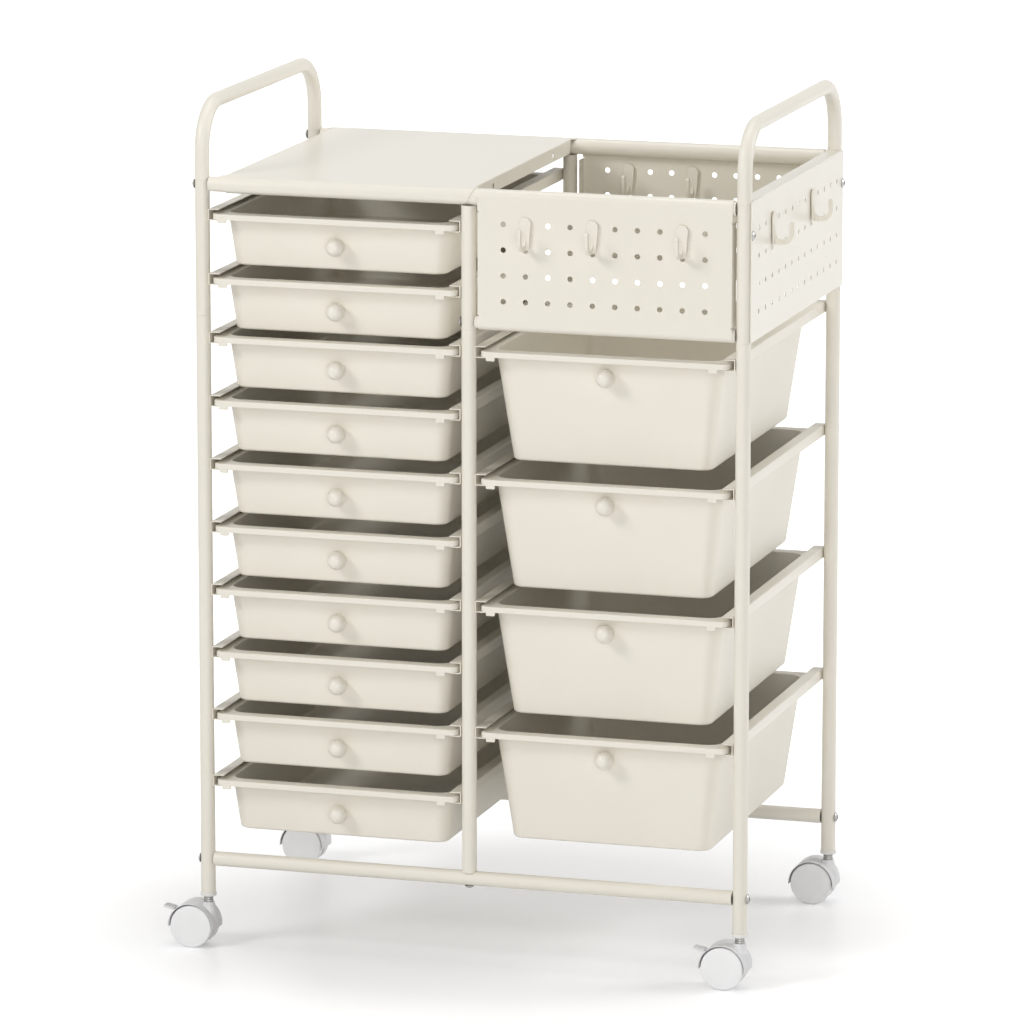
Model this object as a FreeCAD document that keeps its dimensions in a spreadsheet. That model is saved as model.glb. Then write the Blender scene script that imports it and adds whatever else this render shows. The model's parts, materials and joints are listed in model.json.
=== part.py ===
import FreeCAD, Part
import math
import operator
import os
import Sketcher
from types import SimpleNamespace

# Rolling drawer cart
# A steel-tube trolley on four twin-wheel casters. The left bay holds ten shallow drawers under
# a sheet tray. The right bay holds four deep drawers under a bin of three pegboards.
# Frame: +Z up, the drawers open towards -Y, the origin is the bottom centre of the whole cart,
# on the floor. All lengths are in millimetres and all angles in degrees.

DRIVING_SIZES = {
    # Tube frame
    "tube_diameter": 16.0,
    "tube_wall": 1.2,
    "frame_width": 602.0,
    "frame_depth": 378.0,
    "middle_post_shift": -1.7,
    "bottom_bar_rise": 38.1,
    "short_bar_rise": 30.3,
    "section_joint_drop": 7.8,
    "handle_joint_rise": 5.0,
    "handle_rise": 79.5,
    "handle_bend_radius": 50.0,
    "short_bar_diameter": 13.5,
    "short_bar_wall": 1.0,
    "sleeve_length": 44.0,
    "sleeve_wall": 1.5,
    "insert_length": 20.0,
    "tube_play": 0.05,
    "end_play": 0.3,
    # Bolts
    "bolt_diameter": 5.0,
    "bolt_hole_play": 0.1,
    "bolt_head_diameter": 9.4,
    "bolt_head_rim": 0.6,
    "bolt_head_height": 2.5,
    "panel_bolt_length": 8.0,
    # Runners
    "runner_height": 12.6,
    "runner_width": 12.5,
    "runner_wall": 1.0,
    "runner_stop_gap": 0.5,
    # Rows of drawers, each a step above the row below
    "bottom_rim_rise": 90.4,
    "bottom_row_pitch": 74.0,
    "row_pitch": 69.3,
    "regular_row_count": 7,
    "second_row_pitch": 63.8,
    "top_row_pitch": 70.0,
    "top_bar_rise": 31.0,
    # Drawers
    "rim_side_gap": 4.15,
    "rim_front_reach": 8.5,
    "rim_back_gap": 2.0,
    "rim_corner_radius": 9.0,
    "rim_thickness": 2.2,
    "lip_height": 6.3,
    "lip_thickness": 2.4,
    "drawer_wall": 2.2,
    "side_inset": 10.5,
    "end_inset": 13.0,
    "draft_angle": 7.6,
    "body_corner_radius": 18.0,
    "floor_corner_radius": 14.0,
    "floor_fillet": 3.0,
    "shallow_depth": 57.4,
    "deep_depth": 121.5,
    "tab_width": 9.5,
    "tab_drop": 3.7,
    "tab_left_inset": 7.5,
    "tab_right_inset": 13.0,
    "seat_play": 0.3,
    # Knobs
    "shallow_knob_drop": 30.0,
    "deep_knob_drop": 22.3,
    "knob_radius": 9.8,
    "knob_length": 19.0,
    "knob_neck_radius": 4.5,
    "knob_neck_length": 2.6,
    "knob_bore_depth": 9.0,
    "screw_radius": 2.0,
    "screw_hole_play": 0.25,
    "screw_head_radius": 3.8,
    "screw_head_height": 2.0,
    # Sheet parts
    "sheet": 1.0,
    "wrap_return": 4.0,
    "tray_left_gap": 23.0,
    "tray_right_reach": 3.7,
    "tray_end_run": 3.8,
    "seam_run": 9.2,
    "seam_gap": 0.6,
    "skirt_height": 16.0,
    "skirt_end_gap": 2.0,
    "skirt_hole_diameter": 6.0,
    "skirt_hole_spread": 112.0,
    "board_left_gap": 12.1,
    "board_right_gap": 10.6,
    "board_flange": 16.0,
    "board_flange_gap": 1.0,
    "board_flange_drop": 5.4,
    "peg_hole_diameter": 6.0,
    "board_left_margin": 28.75,
    "board_right_margin": 29.67,
    "board_column_count": 10,
    "board_top_row_drop": 26.8,
    "board_row_pitch": 27.65,
    "peg_row_count": 4,
    "flange_hole_diameter": 4.0,
    "flange_hole_drop": 20.1,
    "flange_hole_edge": 4.0,
    "side_board_overhang": 4.0,
    "side_board_drop": 6.9,
    "side_board_flange": 15.0,
    "side_front_margin": 30.6,
    "side_back_margin": 27.8,
    "side_column_count": 13,
    "side_top_row_drop": 22.6,
    "side_row_pitch": 29.8,
    "side_bolt_drop": 27.7,
    "notch_play": 0.5,
    # Pegboard hooks
    "hook_top": 8.7,
    "hook_plate_radius": 7.0,
    "hook_foot_width": 9.6,
    "hook_foot_radius": 3.0,
    "hook_height": 35.2,
    "hook_plate_thickness": 2.5,
    "hook_standoff": 1.0,
    "hook_reach": 24.0,
    "hook_blade": 3.2,
    "hook_bar": 5.2,
    "hook_tip_drop": 10.5,
    "hook_peg_radius": 2.7,
    "hook_peg_reach": 3.0,
    "hook_barb": 1.5,
    "hook_barb_height": 5.6,
    # Casters
    "wheel_radius": 23.4,
    "caster_trail": 16.0,
    "caster_width": 34.0,
    "hood_gap": 0.8,
    "hood_wall": 1.6,
    "hood_left_drop": 1.6,
    "hood_right_drop": 3.6,
    "web_width": 9.4,
    "hub_radius": 7.0,
    "boss_radius": 6.4,
    "boss_foot_radius": 9.6,
    "boss_rise": 0.8,
    "boss_height": 10.0,
    "axle_radius": 2.5,
    "axle_play": 0.05,
    "axle_end_gap": 2.0,
    "wheel_side_gap": 0.5,
    "wheel_recess": 0.6,
    "wheel_disc": 2.2,
    "tread_wall": 3.0,
    "tread_edge_radius": 2.0,
    "wheel_hub_radius": 6.0,
    "stem_pin_radius": 2.8,
    "stem_pin_length": 18.0,
    "stem_neck_radius": 4.3,
    "stem_collar_radius": 5.2,
    "stem_collar_height": 1.4,
    "stem_shank_length": 24.0,
    "swivel_gap": 4.7,
    "socket_flange_reach": 0.75,
    "socket_flange_height": 6.0,
    "socket_plug_length": 26.0,
    "stem_play": 0.05,
    "lever_pivot_back": 9.0,
    "lever_pivot_depth": 11.9,
    "lever_slope": 11.0,
    "lever_pad_start": 15.0,
    "lever_reach": 26.6,
    "lever_thickness": 3.4,
    "lever_pad_width": 11.0,
    "lever_arm_width": 3.4,
    "lever_eye_radius": 3.2,
    "lever_pin_radius": 1.25,
    "lever_slot_play": 0.25,
    "lever_slot_below": 4.9,
    "lever_slot_above": 6.6,
    "rib_depth": 0.6,
    "rib_pitch": 2.2,
    "rib_count": 5,
}

ALONG_X = FreeCAD.Rotation(FreeCAD.Vector(0, 1, 0), 90)
AGAINST_X = FreeCAD.Rotation(FreeCAD.Vector(0, 1, 0), -90)
ALONG_Y = FreeCAD.Rotation(FreeCAD.Vector(1, 0, 0), -90)
AGAINST_Z = FreeCAD.Rotation(FreeCAD.Vector(1, 0, 0), 180)
HALF_TURN = FreeCAD.Rotation(FreeCAD.Vector(0, 0, 1), 180)
QUARTER_TURN = FreeCAD.Rotation(FreeCAD.Vector(0, 0, 1), 90)
FRONT = -1
BACK = 1
ENDS = (("front", FRONT), ("back", BACK))
LEFT = -1
RIGHT = 1
SIDES = (("left", LEFT), ("right", RIGHT))
LEFT_TURN = 1
RIGHT_TURN = -1
FRONT_HOOK_COLUMNS = (1, 4, 8)
REAR_HOOK_COLUMNS = (1, 4)
SIDE_HOOK_COLUMNS = (2, 8)


# Sizes that carry their spreadsheet expression

class Size:
    """A number together with the spreadsheet expression that works it out."""

    def __init__(self, number, text):
        self.number = number
        self.text = text

    def __add__(self, other):
        return join(self, "+", operator.add, other)

    def __radd__(self, other):
        return join(other, "+", operator.add, self)

    def __sub__(self, other):
        return join(self, "-", operator.sub, other)

    def __rsub__(self, other):
        return join(other, "-", operator.sub, self)

    def __mul__(self, other):
        return join(self, "*", operator.mul, other)

    def __rmul__(self, other):
        return join(other, "*", operator.mul, self)

    def __truediv__(self, other):
        return join(self, "/", operator.truediv, other)

    def __neg__(self):
        return Size(-self.number, f"(-1 * {self.text})")


def as_size(value):
    if isinstance(value, Size):
        return value
    return Size(float(value), f"({float(value)})")


def join(left, sign, work, right):
    left = as_size(left)
    right = as_size(right)
    return Size(work(left.number, right.number), f"({left.text} {sign} {right.text})")


def tangent(angle):
    return Size(math.tan(math.radians(angle.number)), f"tan({angle.text} * 1 deg)")


def cosine(angle):
    return Size(math.cos(math.radians(angle.number)), f"cos({angle.text} * 1 deg)")


def root(value):
    return Size(math.sqrt(value.number), f"sqrt({value.text})")


# Document and driving sizes

document = FreeCAD.newDocument("RollingDrawerCart")
sheet = document.addObject("Spreadsheet::Sheet", "Sizes")
for row, (alias, number) in enumerate(DRIVING_SIZES.items(), start=1):
    sheet.set(f"A{row}", str(number))
    sheet.setAlias(f"A{row}", alias)
document.recompute()

given = SimpleNamespace(
    **{alias: Size(float(number), f"Sizes.{alias}") for alias, number in DRIVING_SIZES.items()}
)

tube_radius = given.tube_diameter / 2
tube_bore = tube_radius - given.tube_wall
post_x = given.frame_width / 2
post_y = given.frame_depth / 2
middle_x = given.middle_post_shift
short_bar_radius = given.short_bar_diameter / 2
short_bar_bore = short_bar_radius - given.short_bar_wall
bolt_radius = given.bolt_diameter / 2
bolt_hole_radius = bolt_radius + given.bolt_hole_play

# Caster and post heights, from the floor up
hood_bore = given.wheel_radius + given.hood_gap
hood_radius = hood_bore + given.hood_wall
boss_top = hood_radius + given.boss_rise
boss_foot = boss_top - given.boss_height
socket_bottom = given.wheel_radius + boss_top + given.swivel_gap
post_foot_height = socket_bottom + given.socket_flange_height
bottom_bar_height = post_foot_height + given.bottom_bar_rise

# Heights of the rims: ten rows in the left bay, and every other regular row in the right bay
bottom_rim_height = bottom_bar_height + given.bottom_rim_rise
low_regular_rim = bottom_rim_height + given.bottom_row_pitch
regular_count = int(given.regular_row_count.number)
regular_rows = [low_regular_rim + given.row_pitch * step for step in range(regular_count)]
regular_rows.reverse()
second_rim_height = regular_rows[0] + given.second_row_pitch
top_rim_height = second_rim_height + given.top_row_pitch
shallow_rows = [top_rim_height, second_rim_height, *regular_rows, bottom_rim_height]
deep_rows = regular_rows[::2]

# Heights of the frame above the rows
short_bar_height = deep_rows[0] + given.short_bar_rise
section_joint_height = short_bar_height - given.section_joint_drop
top_bar_height = top_rim_height + given.top_bar_rise
handle_joint_height = top_bar_height + given.handle_joint_rise
handle_height = handle_joint_height + given.handle_rise

# Sheet wrapped round the crossbars
wrap_bore = tube_radius + given.tube_play
wrap_radius = wrap_bore + given.sheet
short_wrap_bore = short_bar_radius + given.tube_play
short_wrap_radius = short_wrap_bore + given.sheet
board_face_y = post_y + wrap_radius
short_bar_y = board_face_y - short_wrap_radius
side_board_face = post_x + tube_radius + given.sheet
side_board_top = top_bar_height + wrap_radius
middle_post_top = top_bar_height - wrap_radius - given.end_play

# Seams between the tray wrap and the pegboard wraps
tray_left = given.tray_left_gap - post_x
tray_right = middle_x + given.tray_right_reach
tray_wrap_left = tray_left - given.tray_end_run
tray_wrap_right = tray_right + given.tray_end_run

# Pegboard grids
board_left = middle_x + given.board_left_gap
board_right = post_x - given.board_right_gap
board_column_start = board_left + given.board_left_margin
board_column_span = board_right - given.board_right_margin - board_column_start
board_column_pitch = board_column_span / (given.board_column_count - 1)
board_top_row = top_bar_height - given.board_top_row_drop
side_board_end = post_y + given.side_board_overhang
side_column_start = given.side_front_margin - side_board_end
side_column_span = side_board_end - given.side_back_margin - side_column_start
side_column_pitch = side_column_span / (given.side_column_count - 1)
side_top_row = top_bar_height - given.side_top_row_drop
side_bolt_height = top_bar_height - given.side_bolt_drop

# Bays and drawers, the drawers as wide as the narrower bay lets them be
left_bay_x = (middle_x - post_x) / 2
right_bay_x = (middle_x + post_x) / 2
rim_half_width = (middle_x + post_x) / 2 - tube_radius - given.rim_side_gap
rim_front = post_y + given.rim_front_reach
rim_back = post_y - given.rim_back_gap
runner_end = rim_front - given.lip_thickness - given.runner_stop_gap
runner_drop = given.lip_height + given.seat_play + given.runner_wall

# Axles and brake levers
axle_length = given.caster_width - 2 * given.axle_end_gap
lever_pivot_rise = hood_radius - given.lever_pivot_depth
lever_half = given.lever_thickness / 2
lever_run = (given.lever_reach - lever_half) * cosine(given.lever_slope)

# The origin is moved to the bottom centre of the box round the whole cart
reach_left = post_x + given.caster_trail + given.lever_pivot_back + lever_run + lever_half
reach_right = side_board_face + given.hook_reach
reach_front = board_face_y + given.hook_reach
reach_back = post_y + given.caster_width / 2
shift_x = (reach_left - reach_right) / 2
shift_y = (reach_front - reach_back) / 2


# Helpers for objects and placements

def bind(thing, name, value):
    thing.setExpression(name, as_size(value).text)


def place(thing, x, y, z, turn=None):
    if turn is not None:
        thing.Placement = FreeCAD.Placement(FreeCAD.Vector(0, 0, 0), turn)
    for axis, distance in zip("xyz", (x, y, z)):
        bind(thing, f"Placement.Base.{axis}", distance)
    return thing


def cylinder(name, radius, length, x, y, z, turn=None):
    solid = document.addObject("Part::Cylinder", name)
    bind(solid, "Radius", radius)
    bind(solid, "Height", length)
    return place(solid, x, y, z, turn)


def fused(name, solids):
    fusion = document.addObject("Part::MultiFuse", name)
    fusion.Shapes = solids
    return fusion


def cut_away(name, base, tools):
    cut = document.addObject("Part::Cut", name)
    cut.Base = base
    cut.Tool = tools[0] if len(tools) == 1 else fused(name + "_tools", tools)
    return cut


def copy_of(name, master, x, y, z, turn=None):
    link = document.addObject("App::Link", name)
    link.LinkedObject = master
    return place(link, x, y, z, turn)


sub_parts = []


def finish(thing, x=0, y=0, z=0):
    """Keep a sub-part, placed in the cart's frame with the origin at the bottom centre."""
    place(thing, x + shift_x, y + shift_y, z)
    sub_parts.append(thing)
    return thing


def group(name, solids, x=0, y=0, z=0):
    """Keep several separate solids as one sub-part."""
    compound = document.addObject("Part::Compound", name)
    compound.Links = solids
    return finish(compound, x, y, z)


# Helpers for bodies and sketches

def new_body(name):
    return document.addObject("PartDesign::Body", name)


def sketch_on(body, name, role, offset=0):
    plane = next(item for item in body.Origin.OriginFeatures if item.Role == role)
    sketch = body.newObject("Sketcher::SketchObject", f"{body.Name}_{name}")
    sketch.AttachmentSupport = [(plane, "")]
    sketch.MapMode = "FlatFace"
    bind(sketch, "AttachmentOffset.Base.z", offset)
    return sketch


def pin_point(sketch, geometry, point, x, y):
    for kind, distance in (("DistanceX", as_size(x)), ("DistanceY", as_size(y))):
        rule = Sketcher.Constraint(kind, -1, 1, geometry, point, distance.number)
        index = sketch.addConstraint(rule)
        sketch.setExpression(f"Constraints[{index}]", distance.text)


def pin_radius(sketch, geometry, radius):
    index = sketch.addConstraint(Sketcher.Constraint("Radius", geometry, radius.number))
    sketch.setExpression(f"Constraints[{index}]", radius.text)


def draw_circle(sketch, x, y, radius):
    centre = FreeCAD.Vector(as_size(x).number, as_size(y).number, 0)
    circle = Part.Circle(centre, FreeCAD.Vector(0, 0, 1), radius.number)
    geometry = sketch.addGeometry(circle, False)
    pin_radius(sketch, geometry, radius)
    pin_point(sketch, geometry, 3, x, y)


def arc_between(start, end, radius, turn):
    """The short arc from start to end that turns left or right with the given radius."""
    chord = end - start
    middle = (start + end) / 2
    height = math.sqrt(max(radius * radius - chord.Length ** 2 / 4, 0))
    side = FreeCAD.Vector(-chord.y, chord.x, 0).normalize() * height * turn
    centre = middle + side
    first, last = (start, end) if turn == LEFT_TURN else (end, start)
    angles = [math.atan2(point.y - centre.y, point.x - centre.x) for point in (first, last)]
    if angles[1] < angles[0]:
        angles[1] += 2 * math.pi
    circle = Part.Circle(centre, FreeCAD.Vector(0, 0, 1), radius)
    return Part.ArcOfCircle(circle, angles[0], angles[1])


def draw_path(sketch, corners, closed=True):
    """Draw an outline. A corner is (x, y), or (x, y, radius, turn) where an arc leads to it."""
    points = [FreeCAD.Vector(as_size(step[0]).number, as_size(step[1]).number, 0) for step in corners]
    count = len(corners)
    ends = []
    edges = count if closed else count - 1
    for number in range(edges):
        target = (number + 1) % count
        start, end = points[number], points[target]
        if len(corners[target]) == 2:
            geometry = sketch.addGeometry(Part.LineSegment(start, end), False)
            ends.append((geometry, 1, 2))
        else:
            radius, turn = corners[target][2:]
            geometry = sketch.addGeometry(arc_between(start, end, radius.number, turn), False)
            pin_radius(sketch, geometry, radius)
            ends.append((geometry, 1, 2) if turn == LEFT_TURN else (geometry, 2, 1))
        pin_point(sketch, geometry, ends[-1][1], *corners[number][:2])
    for (geometry, _, last), (follower, first, _) in zip(ends, ends[1:]):
        sketch.addConstraint(Sketcher.Constraint("Coincident", geometry, last, follower, first))
    if closed:
        geometry, _, last = ends[-1]
        follower, first, _ = ends[0]
        sketch.addConstraint(Sketcher.Constraint("Coincident", geometry, last, follower, first))
    else:
        pin_point(sketch, ends[-1][0], ends[-1][2], *corners[-1][:2])


def draw_rectangle(sketch, left, right, bottom, top):
    draw_path(sketch, [(left, bottom), (right, bottom), (right, top), (left, top)])


def draw_rounded_rectangle(sketch, left, right, bottom, top, radius):
    draw_path(sketch, [
        (left + radius, bottom, radius, LEFT_TURN),
        (right - radius, bottom),
        (right, bottom + radius, radius, LEFT_TURN),
        (right, top - radius),
        (right - radius, top, radius, LEFT_TURN),
        (left + radius, top),
        (left, top - radius, radius, LEFT_TURN),
        (left, bottom + radius),
    ])


def pad(body, sketch, length, symmetric=False, backwards=False):
    feature = body.newObject("PartDesign::Pad", f"{sketch.Name}_pad")
    feature.Profile = sketch
    bind(feature, "Length", length)
    feature.Reversed = backwards
    if symmetric:
        feature.SideType = "Symmetric"
    return feature


def pocket_through(body, sketch):
    feature = body.newObject("PartDesign::Pocket", f"{sketch.Name}_pocket")
    feature.Profile = sketch
    feature.Type = "ThroughAll"
    feature.SideType = "Symmetric"
    return feature


def pocket_depth(body, sketch, length, backwards=False):
    feature = body.newObject("PartDesign::Pocket", f"{sketch.Name}_pocket")
    feature.Profile = sketch
    bind(feature, "Length", length)
    feature.Reversed = backwards
    return feature


def revolve(body, sketch, axis="V_Axis"):
    feature = body.newObject("PartDesign::Revolution", f"{sketch.Name}_turn")
    feature.Profile = sketch
    feature.ReferenceAxis = (sketch, [axis])
    feature.Angle = 360
    return feature


def loft(body, kind, sketches):
    feature = body.newObject(f"PartDesign::{kind}", f"{sketches[0].Name}_loft")
    feature.Profile = sketches[0]
    feature.Sections = sketches[1:]
    feature.Ruled = True
    return feature


def hole_grid(body, sketch, columns, column_pitch, rows, row_pitch):
    """Cut the hole of a sketch and repeat it along the sketch's two axes."""
    hole = pocket_through(body, sketch)
    grid = body.newObject("PartDesign::LinearPattern", f"{sketch.Name}_grid")
    grid.Originals = [hole]
    grid.Direction = (sketch, ["H_Axis"])
    bind(grid, "Length", column_pitch * (columns - 1))
    bind(grid, "Occurrences", columns)
    grid.Direction2 = (sketch, ["V_Axis"])
    bind(grid, "Length2", row_pitch * (rows - 1))
    bind(grid, "Occurrences2", rows)
    body.Tip = grid


# Bolts: domed head, its flat underside at the origin, shank downwards

def make_bolt(name, length):
    body = new_body(name)
    head_radius = given.bolt_head_diameter / 2
    dome = given.bolt_head_height - given.bolt_head_rim
    dome_radius = (head_radius * head_radius + dome * dome) / (2 * dome)
    sketch = sketch_on(body, "profile", "XZ_Plane")
    draw_path(sketch, [
        (0, -length),
        (bolt_radius, -length),
        (bolt_radius, 0),
        (head_radius, 0),
        (head_radius, given.bolt_head_rim),
        (0, given.bolt_head_height, dome_radius, LEFT_TURN),
    ])
    revolve(body, sketch)
    return body


# Posts: tube sections, drilled where bolts pass, the middle ones standing on the bottom bars

def bolt_hole(name, x, y, height, side=None):
    """A hole along X, through both walls or from the middle out through one side's wall."""
    reach = tube_radius + given.end_play
    if side is None:
        return cylinder(name, bolt_hole_radius, 2 * reach, x - reach, y, height, ALONG_X)
    turn = ALONG_X if side == RIGHT else AGAINST_X
    return cylinder(name, bolt_hole_radius, reach, x, y, height, turn)


def upright(name, x, y, bottom, top, radius, bore, cuts=()):
    length = top - bottom
    base = cylinder(name + "_round", radius, length, x, y, bottom)
    return cut_away(name, base, [cylinder(name + "_bore", bore, length, x, y, bottom), *cuts])


def make_outer_posts(name, x, side):
    """The two outer posts of one side, each a lower and an upper section."""
    solids = []
    joint = section_joint_height
    for word, end in ENDS:
        y = post_y * end
        spot = f"{name}_{word}"
        low_hole = bolt_hole(spot + "_low_hole", x, y, bottom_bar_height)
        solids.append(upright(spot + "_lower", x, y, post_foot_height, joint, tube_radius,
                              tube_bore, [low_hole]))
        if side == LEFT:
            high_hole = bolt_hole(spot + "_high_hole", x, y, top_bar_height)
        else:
            high_hole = bolt_hole(spot + "_high_hole", x, y, side_bolt_height, RIGHT)
        solids.append(upright(spot + "_upper", x, y, joint, handle_joint_height, tube_radius,
                              tube_bore, [high_hole]))
    group(name, solids)


def make_middle_posts():
    solids = []
    joint = section_joint_height
    for word, end in ENDS:
        y = post_y * end
        foot = bottom_bar_height
        cope = cylinder(f"middle_{word}_cope", wrap_bore, 2 * given.tube_diameter,
                        middle_x - given.tube_diameter, y, foot, ALONG_X)
        solids.append(upright(f"middle_{word}_lower", middle_x, y, foot, joint, tube_radius,
                              tube_bore, [cope]))
        hole = bolt_hole(f"middle_{word}_hole", middle_x, short_bar_y * end, short_bar_height)
        solids.append(upright(f"middle_{word}_upper", middle_x, y, joint, middle_post_top,
                              tube_radius, tube_bore, [hole]))
    group("middle_posts", solids)


def make_sleeves():
    """Inner sleeves at the joints between the post sections and under the handles."""
    solids = []
    radius = tube_bore - given.tube_play

    def sleeve(name, x, y, joint, cuts=()):
        half = given.sleeve_length / 2
        solids.append(upright(name, x, y, joint - half, joint + half, radius,
                              radius - given.sleeve_wall, cuts))

    for word, end in ENDS:
        y = post_y * end
        joint, handle_joint = section_joint_height, handle_joint_height
        short_hole = bolt_hole(f"sleeve_{word}_short_hole", middle_x, short_bar_y * end,
                               short_bar_height)
        high_hole = bolt_hole(f"sleeve_{word}_high_hole", -post_x, y, top_bar_height)
        sleeve(f"sleeve_left_{word}", -post_x, y, joint)
        sleeve(f"sleeve_middle_{word}", middle_x, y, joint, [short_hole])
        sleeve(f"sleeve_right_{word}", post_x, y, joint)
        sleeve(f"handle_sleeve_left_{word}", -post_x, y, handle_joint, [high_hole])
        sleeve(f"handle_sleeve_right_{word}", post_x, y, handle_joint)
    group("joint_sleeves", solids)


# Handles: tube bent to an upturned U along the depth of the cart

def make_handle(name, x):
    body = new_body(name)
    bend = given.handle_bend_radius
    path = sketch_on(body, "path", "YZ_Plane")
    shoulder = handle_height - bend
    draw_path(path, [
        (-post_y, handle_joint_height),
        (-post_y, shoulder),
        (-post_y + bend, handle_height, bend, RIGHT_TURN),
        (post_y - bend, handle_height),
        (post_y, shoulder, bend, RIGHT_TURN),
        (post_y, handle_joint_height),
    ], closed=False)
    ring = sketch_on(body, "ring", "XY_Plane", handle_joint_height)
    draw_circle(ring, 0, -post_y, tube_radius)
    draw_circle(ring, 0, -post_y, tube_bore)
    sweep = body.newObject("PartDesign::AdditivePipe", f"{name}_sweep")
    sweep.Profile = ring
    sweep.Spine = path
    return finish(body, x)


# Crossbars: tubes coped against the posts, with threaded inserts where bolts end

def crossbar(name, y, height, start, end, radius, bore, cuts):
    length = end - start
    base = cylinder(name + "_round", radius, length, start, y, height, ALONG_X)
    hollow = cylinder(name + "_bore", bore, length, start, y, height, ALONG_X)
    return cut_away(name, base, [hollow, *cuts])


def upright_cut(name, radius, x, y, height):
    """An upright cutting cylinder that passes right through a crossbar at this height."""
    low = height - given.tube_diameter
    return cylinder(name, radius, 2 * given.tube_diameter, x, y, low)


def make_long_crossbars(name, height, post_bolt=False):
    solids = []
    for word, end in ENDS:
        y = post_y * end
        spot = f"{name}_{word}"
        cuts = [
            upright_cut(spot + "_left_cope", wrap_bore, -post_x, y, height),
            upright_cut(spot + "_right_cope", wrap_bore, post_x, y, height),
        ]
        if post_bolt:
            cuts.append(upright_cut(spot + "_bolt_hole", bolt_hole_radius, middle_x, y, height))
        solids.append(crossbar(spot, y, height, -post_x, post_x, tube_radius, tube_bore, cuts))
    group(name, solids)


def make_short_crossbars():
    solids = []
    height = short_bar_height
    for word, end in ENDS:
        y = post_y * end
        spot = f"short_crossbars_{word}"
        cuts = [
            upright_cut(spot + "_left_cope", wrap_bore, middle_x, y, height),
            upright_cut(spot + "_right_cope", wrap_bore, post_x, y, height),
        ]
        solids.append(crossbar(spot, short_bar_y * end, height, middle_x, post_x, short_bar_radius,
                               short_bar_bore, cuts))
    group("short_crossbars", solids)


def make_inserts():
    """Threaded plugs inside the tube ends that bolts are screwed into."""
    solids = []

    def insert(name, radius, x, y, z, turn=None):
        plug = cylinder(name + "_plug", radius, given.insert_length, x, y, z, turn)
        bore = cylinder(name + "_bore", bolt_radius, given.insert_length, x, y, z, turn)
        solids.append(cut_away(name, plug, [bore]))

    start = post_x - wrap_bore - given.end_play
    short_start = middle_x + wrap_bore + given.end_play
    middle_start = bottom_bar_height + wrap_bore + given.end_play
    for word, end in ENDS:
        y = post_y * end
        low, high = bottom_bar_height, top_bar_height
        insert(f"insert_low_left_{word}", tube_bore, -start, y, low, ALONG_X)
        insert(f"insert_low_right_{word}", tube_bore, start, y, low, AGAINST_X)
        insert(f"insert_high_left_{word}", tube_bore, -start, y, high, ALONG_X)
        insert(f"insert_middle_{word}", tube_bore, middle_x, y, middle_start)
        insert(f"insert_short_{word}", short_bar_bore, short_start, short_bar_y * end,
               short_bar_height, ALONG_X)
    group("threaded_inserts", solids)


def make_frame_bolts():
    long_bolt = make_bolt("long_bolt", given.tube_diameter + given.insert_length)
    panel_bolt = make_bolt("panel_bolt", given.panel_bolt_length)
    face = post_x + tube_radius
    solids = []
    for word, end in ENDS:
        y = post_y * end
        spots = [
            ("low_left", long_bolt, -face, y, bottom_bar_height, AGAINST_X),
            ("high_left", long_bolt, -face, y, top_bar_height, AGAINST_X),
            ("low_right", long_bolt, face, y, bottom_bar_height, ALONG_X),
            ("panel", panel_bolt, side_board_face, y, side_bolt_height, ALONG_X),
            ("foot", long_bolt, middle_x, y, bottom_bar_height - tube_radius, AGAINST_Z),
            ("short", long_bolt, middle_x - tube_radius, short_bar_y * end, short_bar_height,
             AGAINST_X),
        ]
        for spot, bolt, *place_and_turn in spots:
            solids.append(copy_of(f"bolt_{spot}_{word}", bolt, *place_and_turn))
    group("frame_bolts", solids)


# Runners: folded channels welded to the inner sides of the posts, open towards the drawers

def make_runner_master():
    """Channel that opens towards +X, its back at x = 0, its height measured from a rim's top."""
    body = new_body("runner")
    low = -runner_drop
    high = low + given.runner_height
    wall = given.runner_wall
    sketch = sketch_on(body, "profile", "XZ_Plane")
    draw_path(sketch, [
        (0, low),
        (given.runner_width, low),
        (given.runner_width, low + wall),
        (wall, low + wall),
        (wall, high - wall),
        (given.runner_width, high - wall),
        (given.runner_width, high),
        (0, high),
    ])
    pad(body, sketch, 2 * runner_end, symmetric=True)
    return body


def make_runners(name, master, columns):
    solids = []
    for word, x, turn, rows in columns:
        for number, height in enumerate(rows, start=1):
            solids.append(copy_of(f"{name}_{word}{number}", master, x, 0, height, turn))
    return group(name, solids)


# Tray: sheet whose long edges wrap the top crossbars and whose short edges turn down

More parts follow.
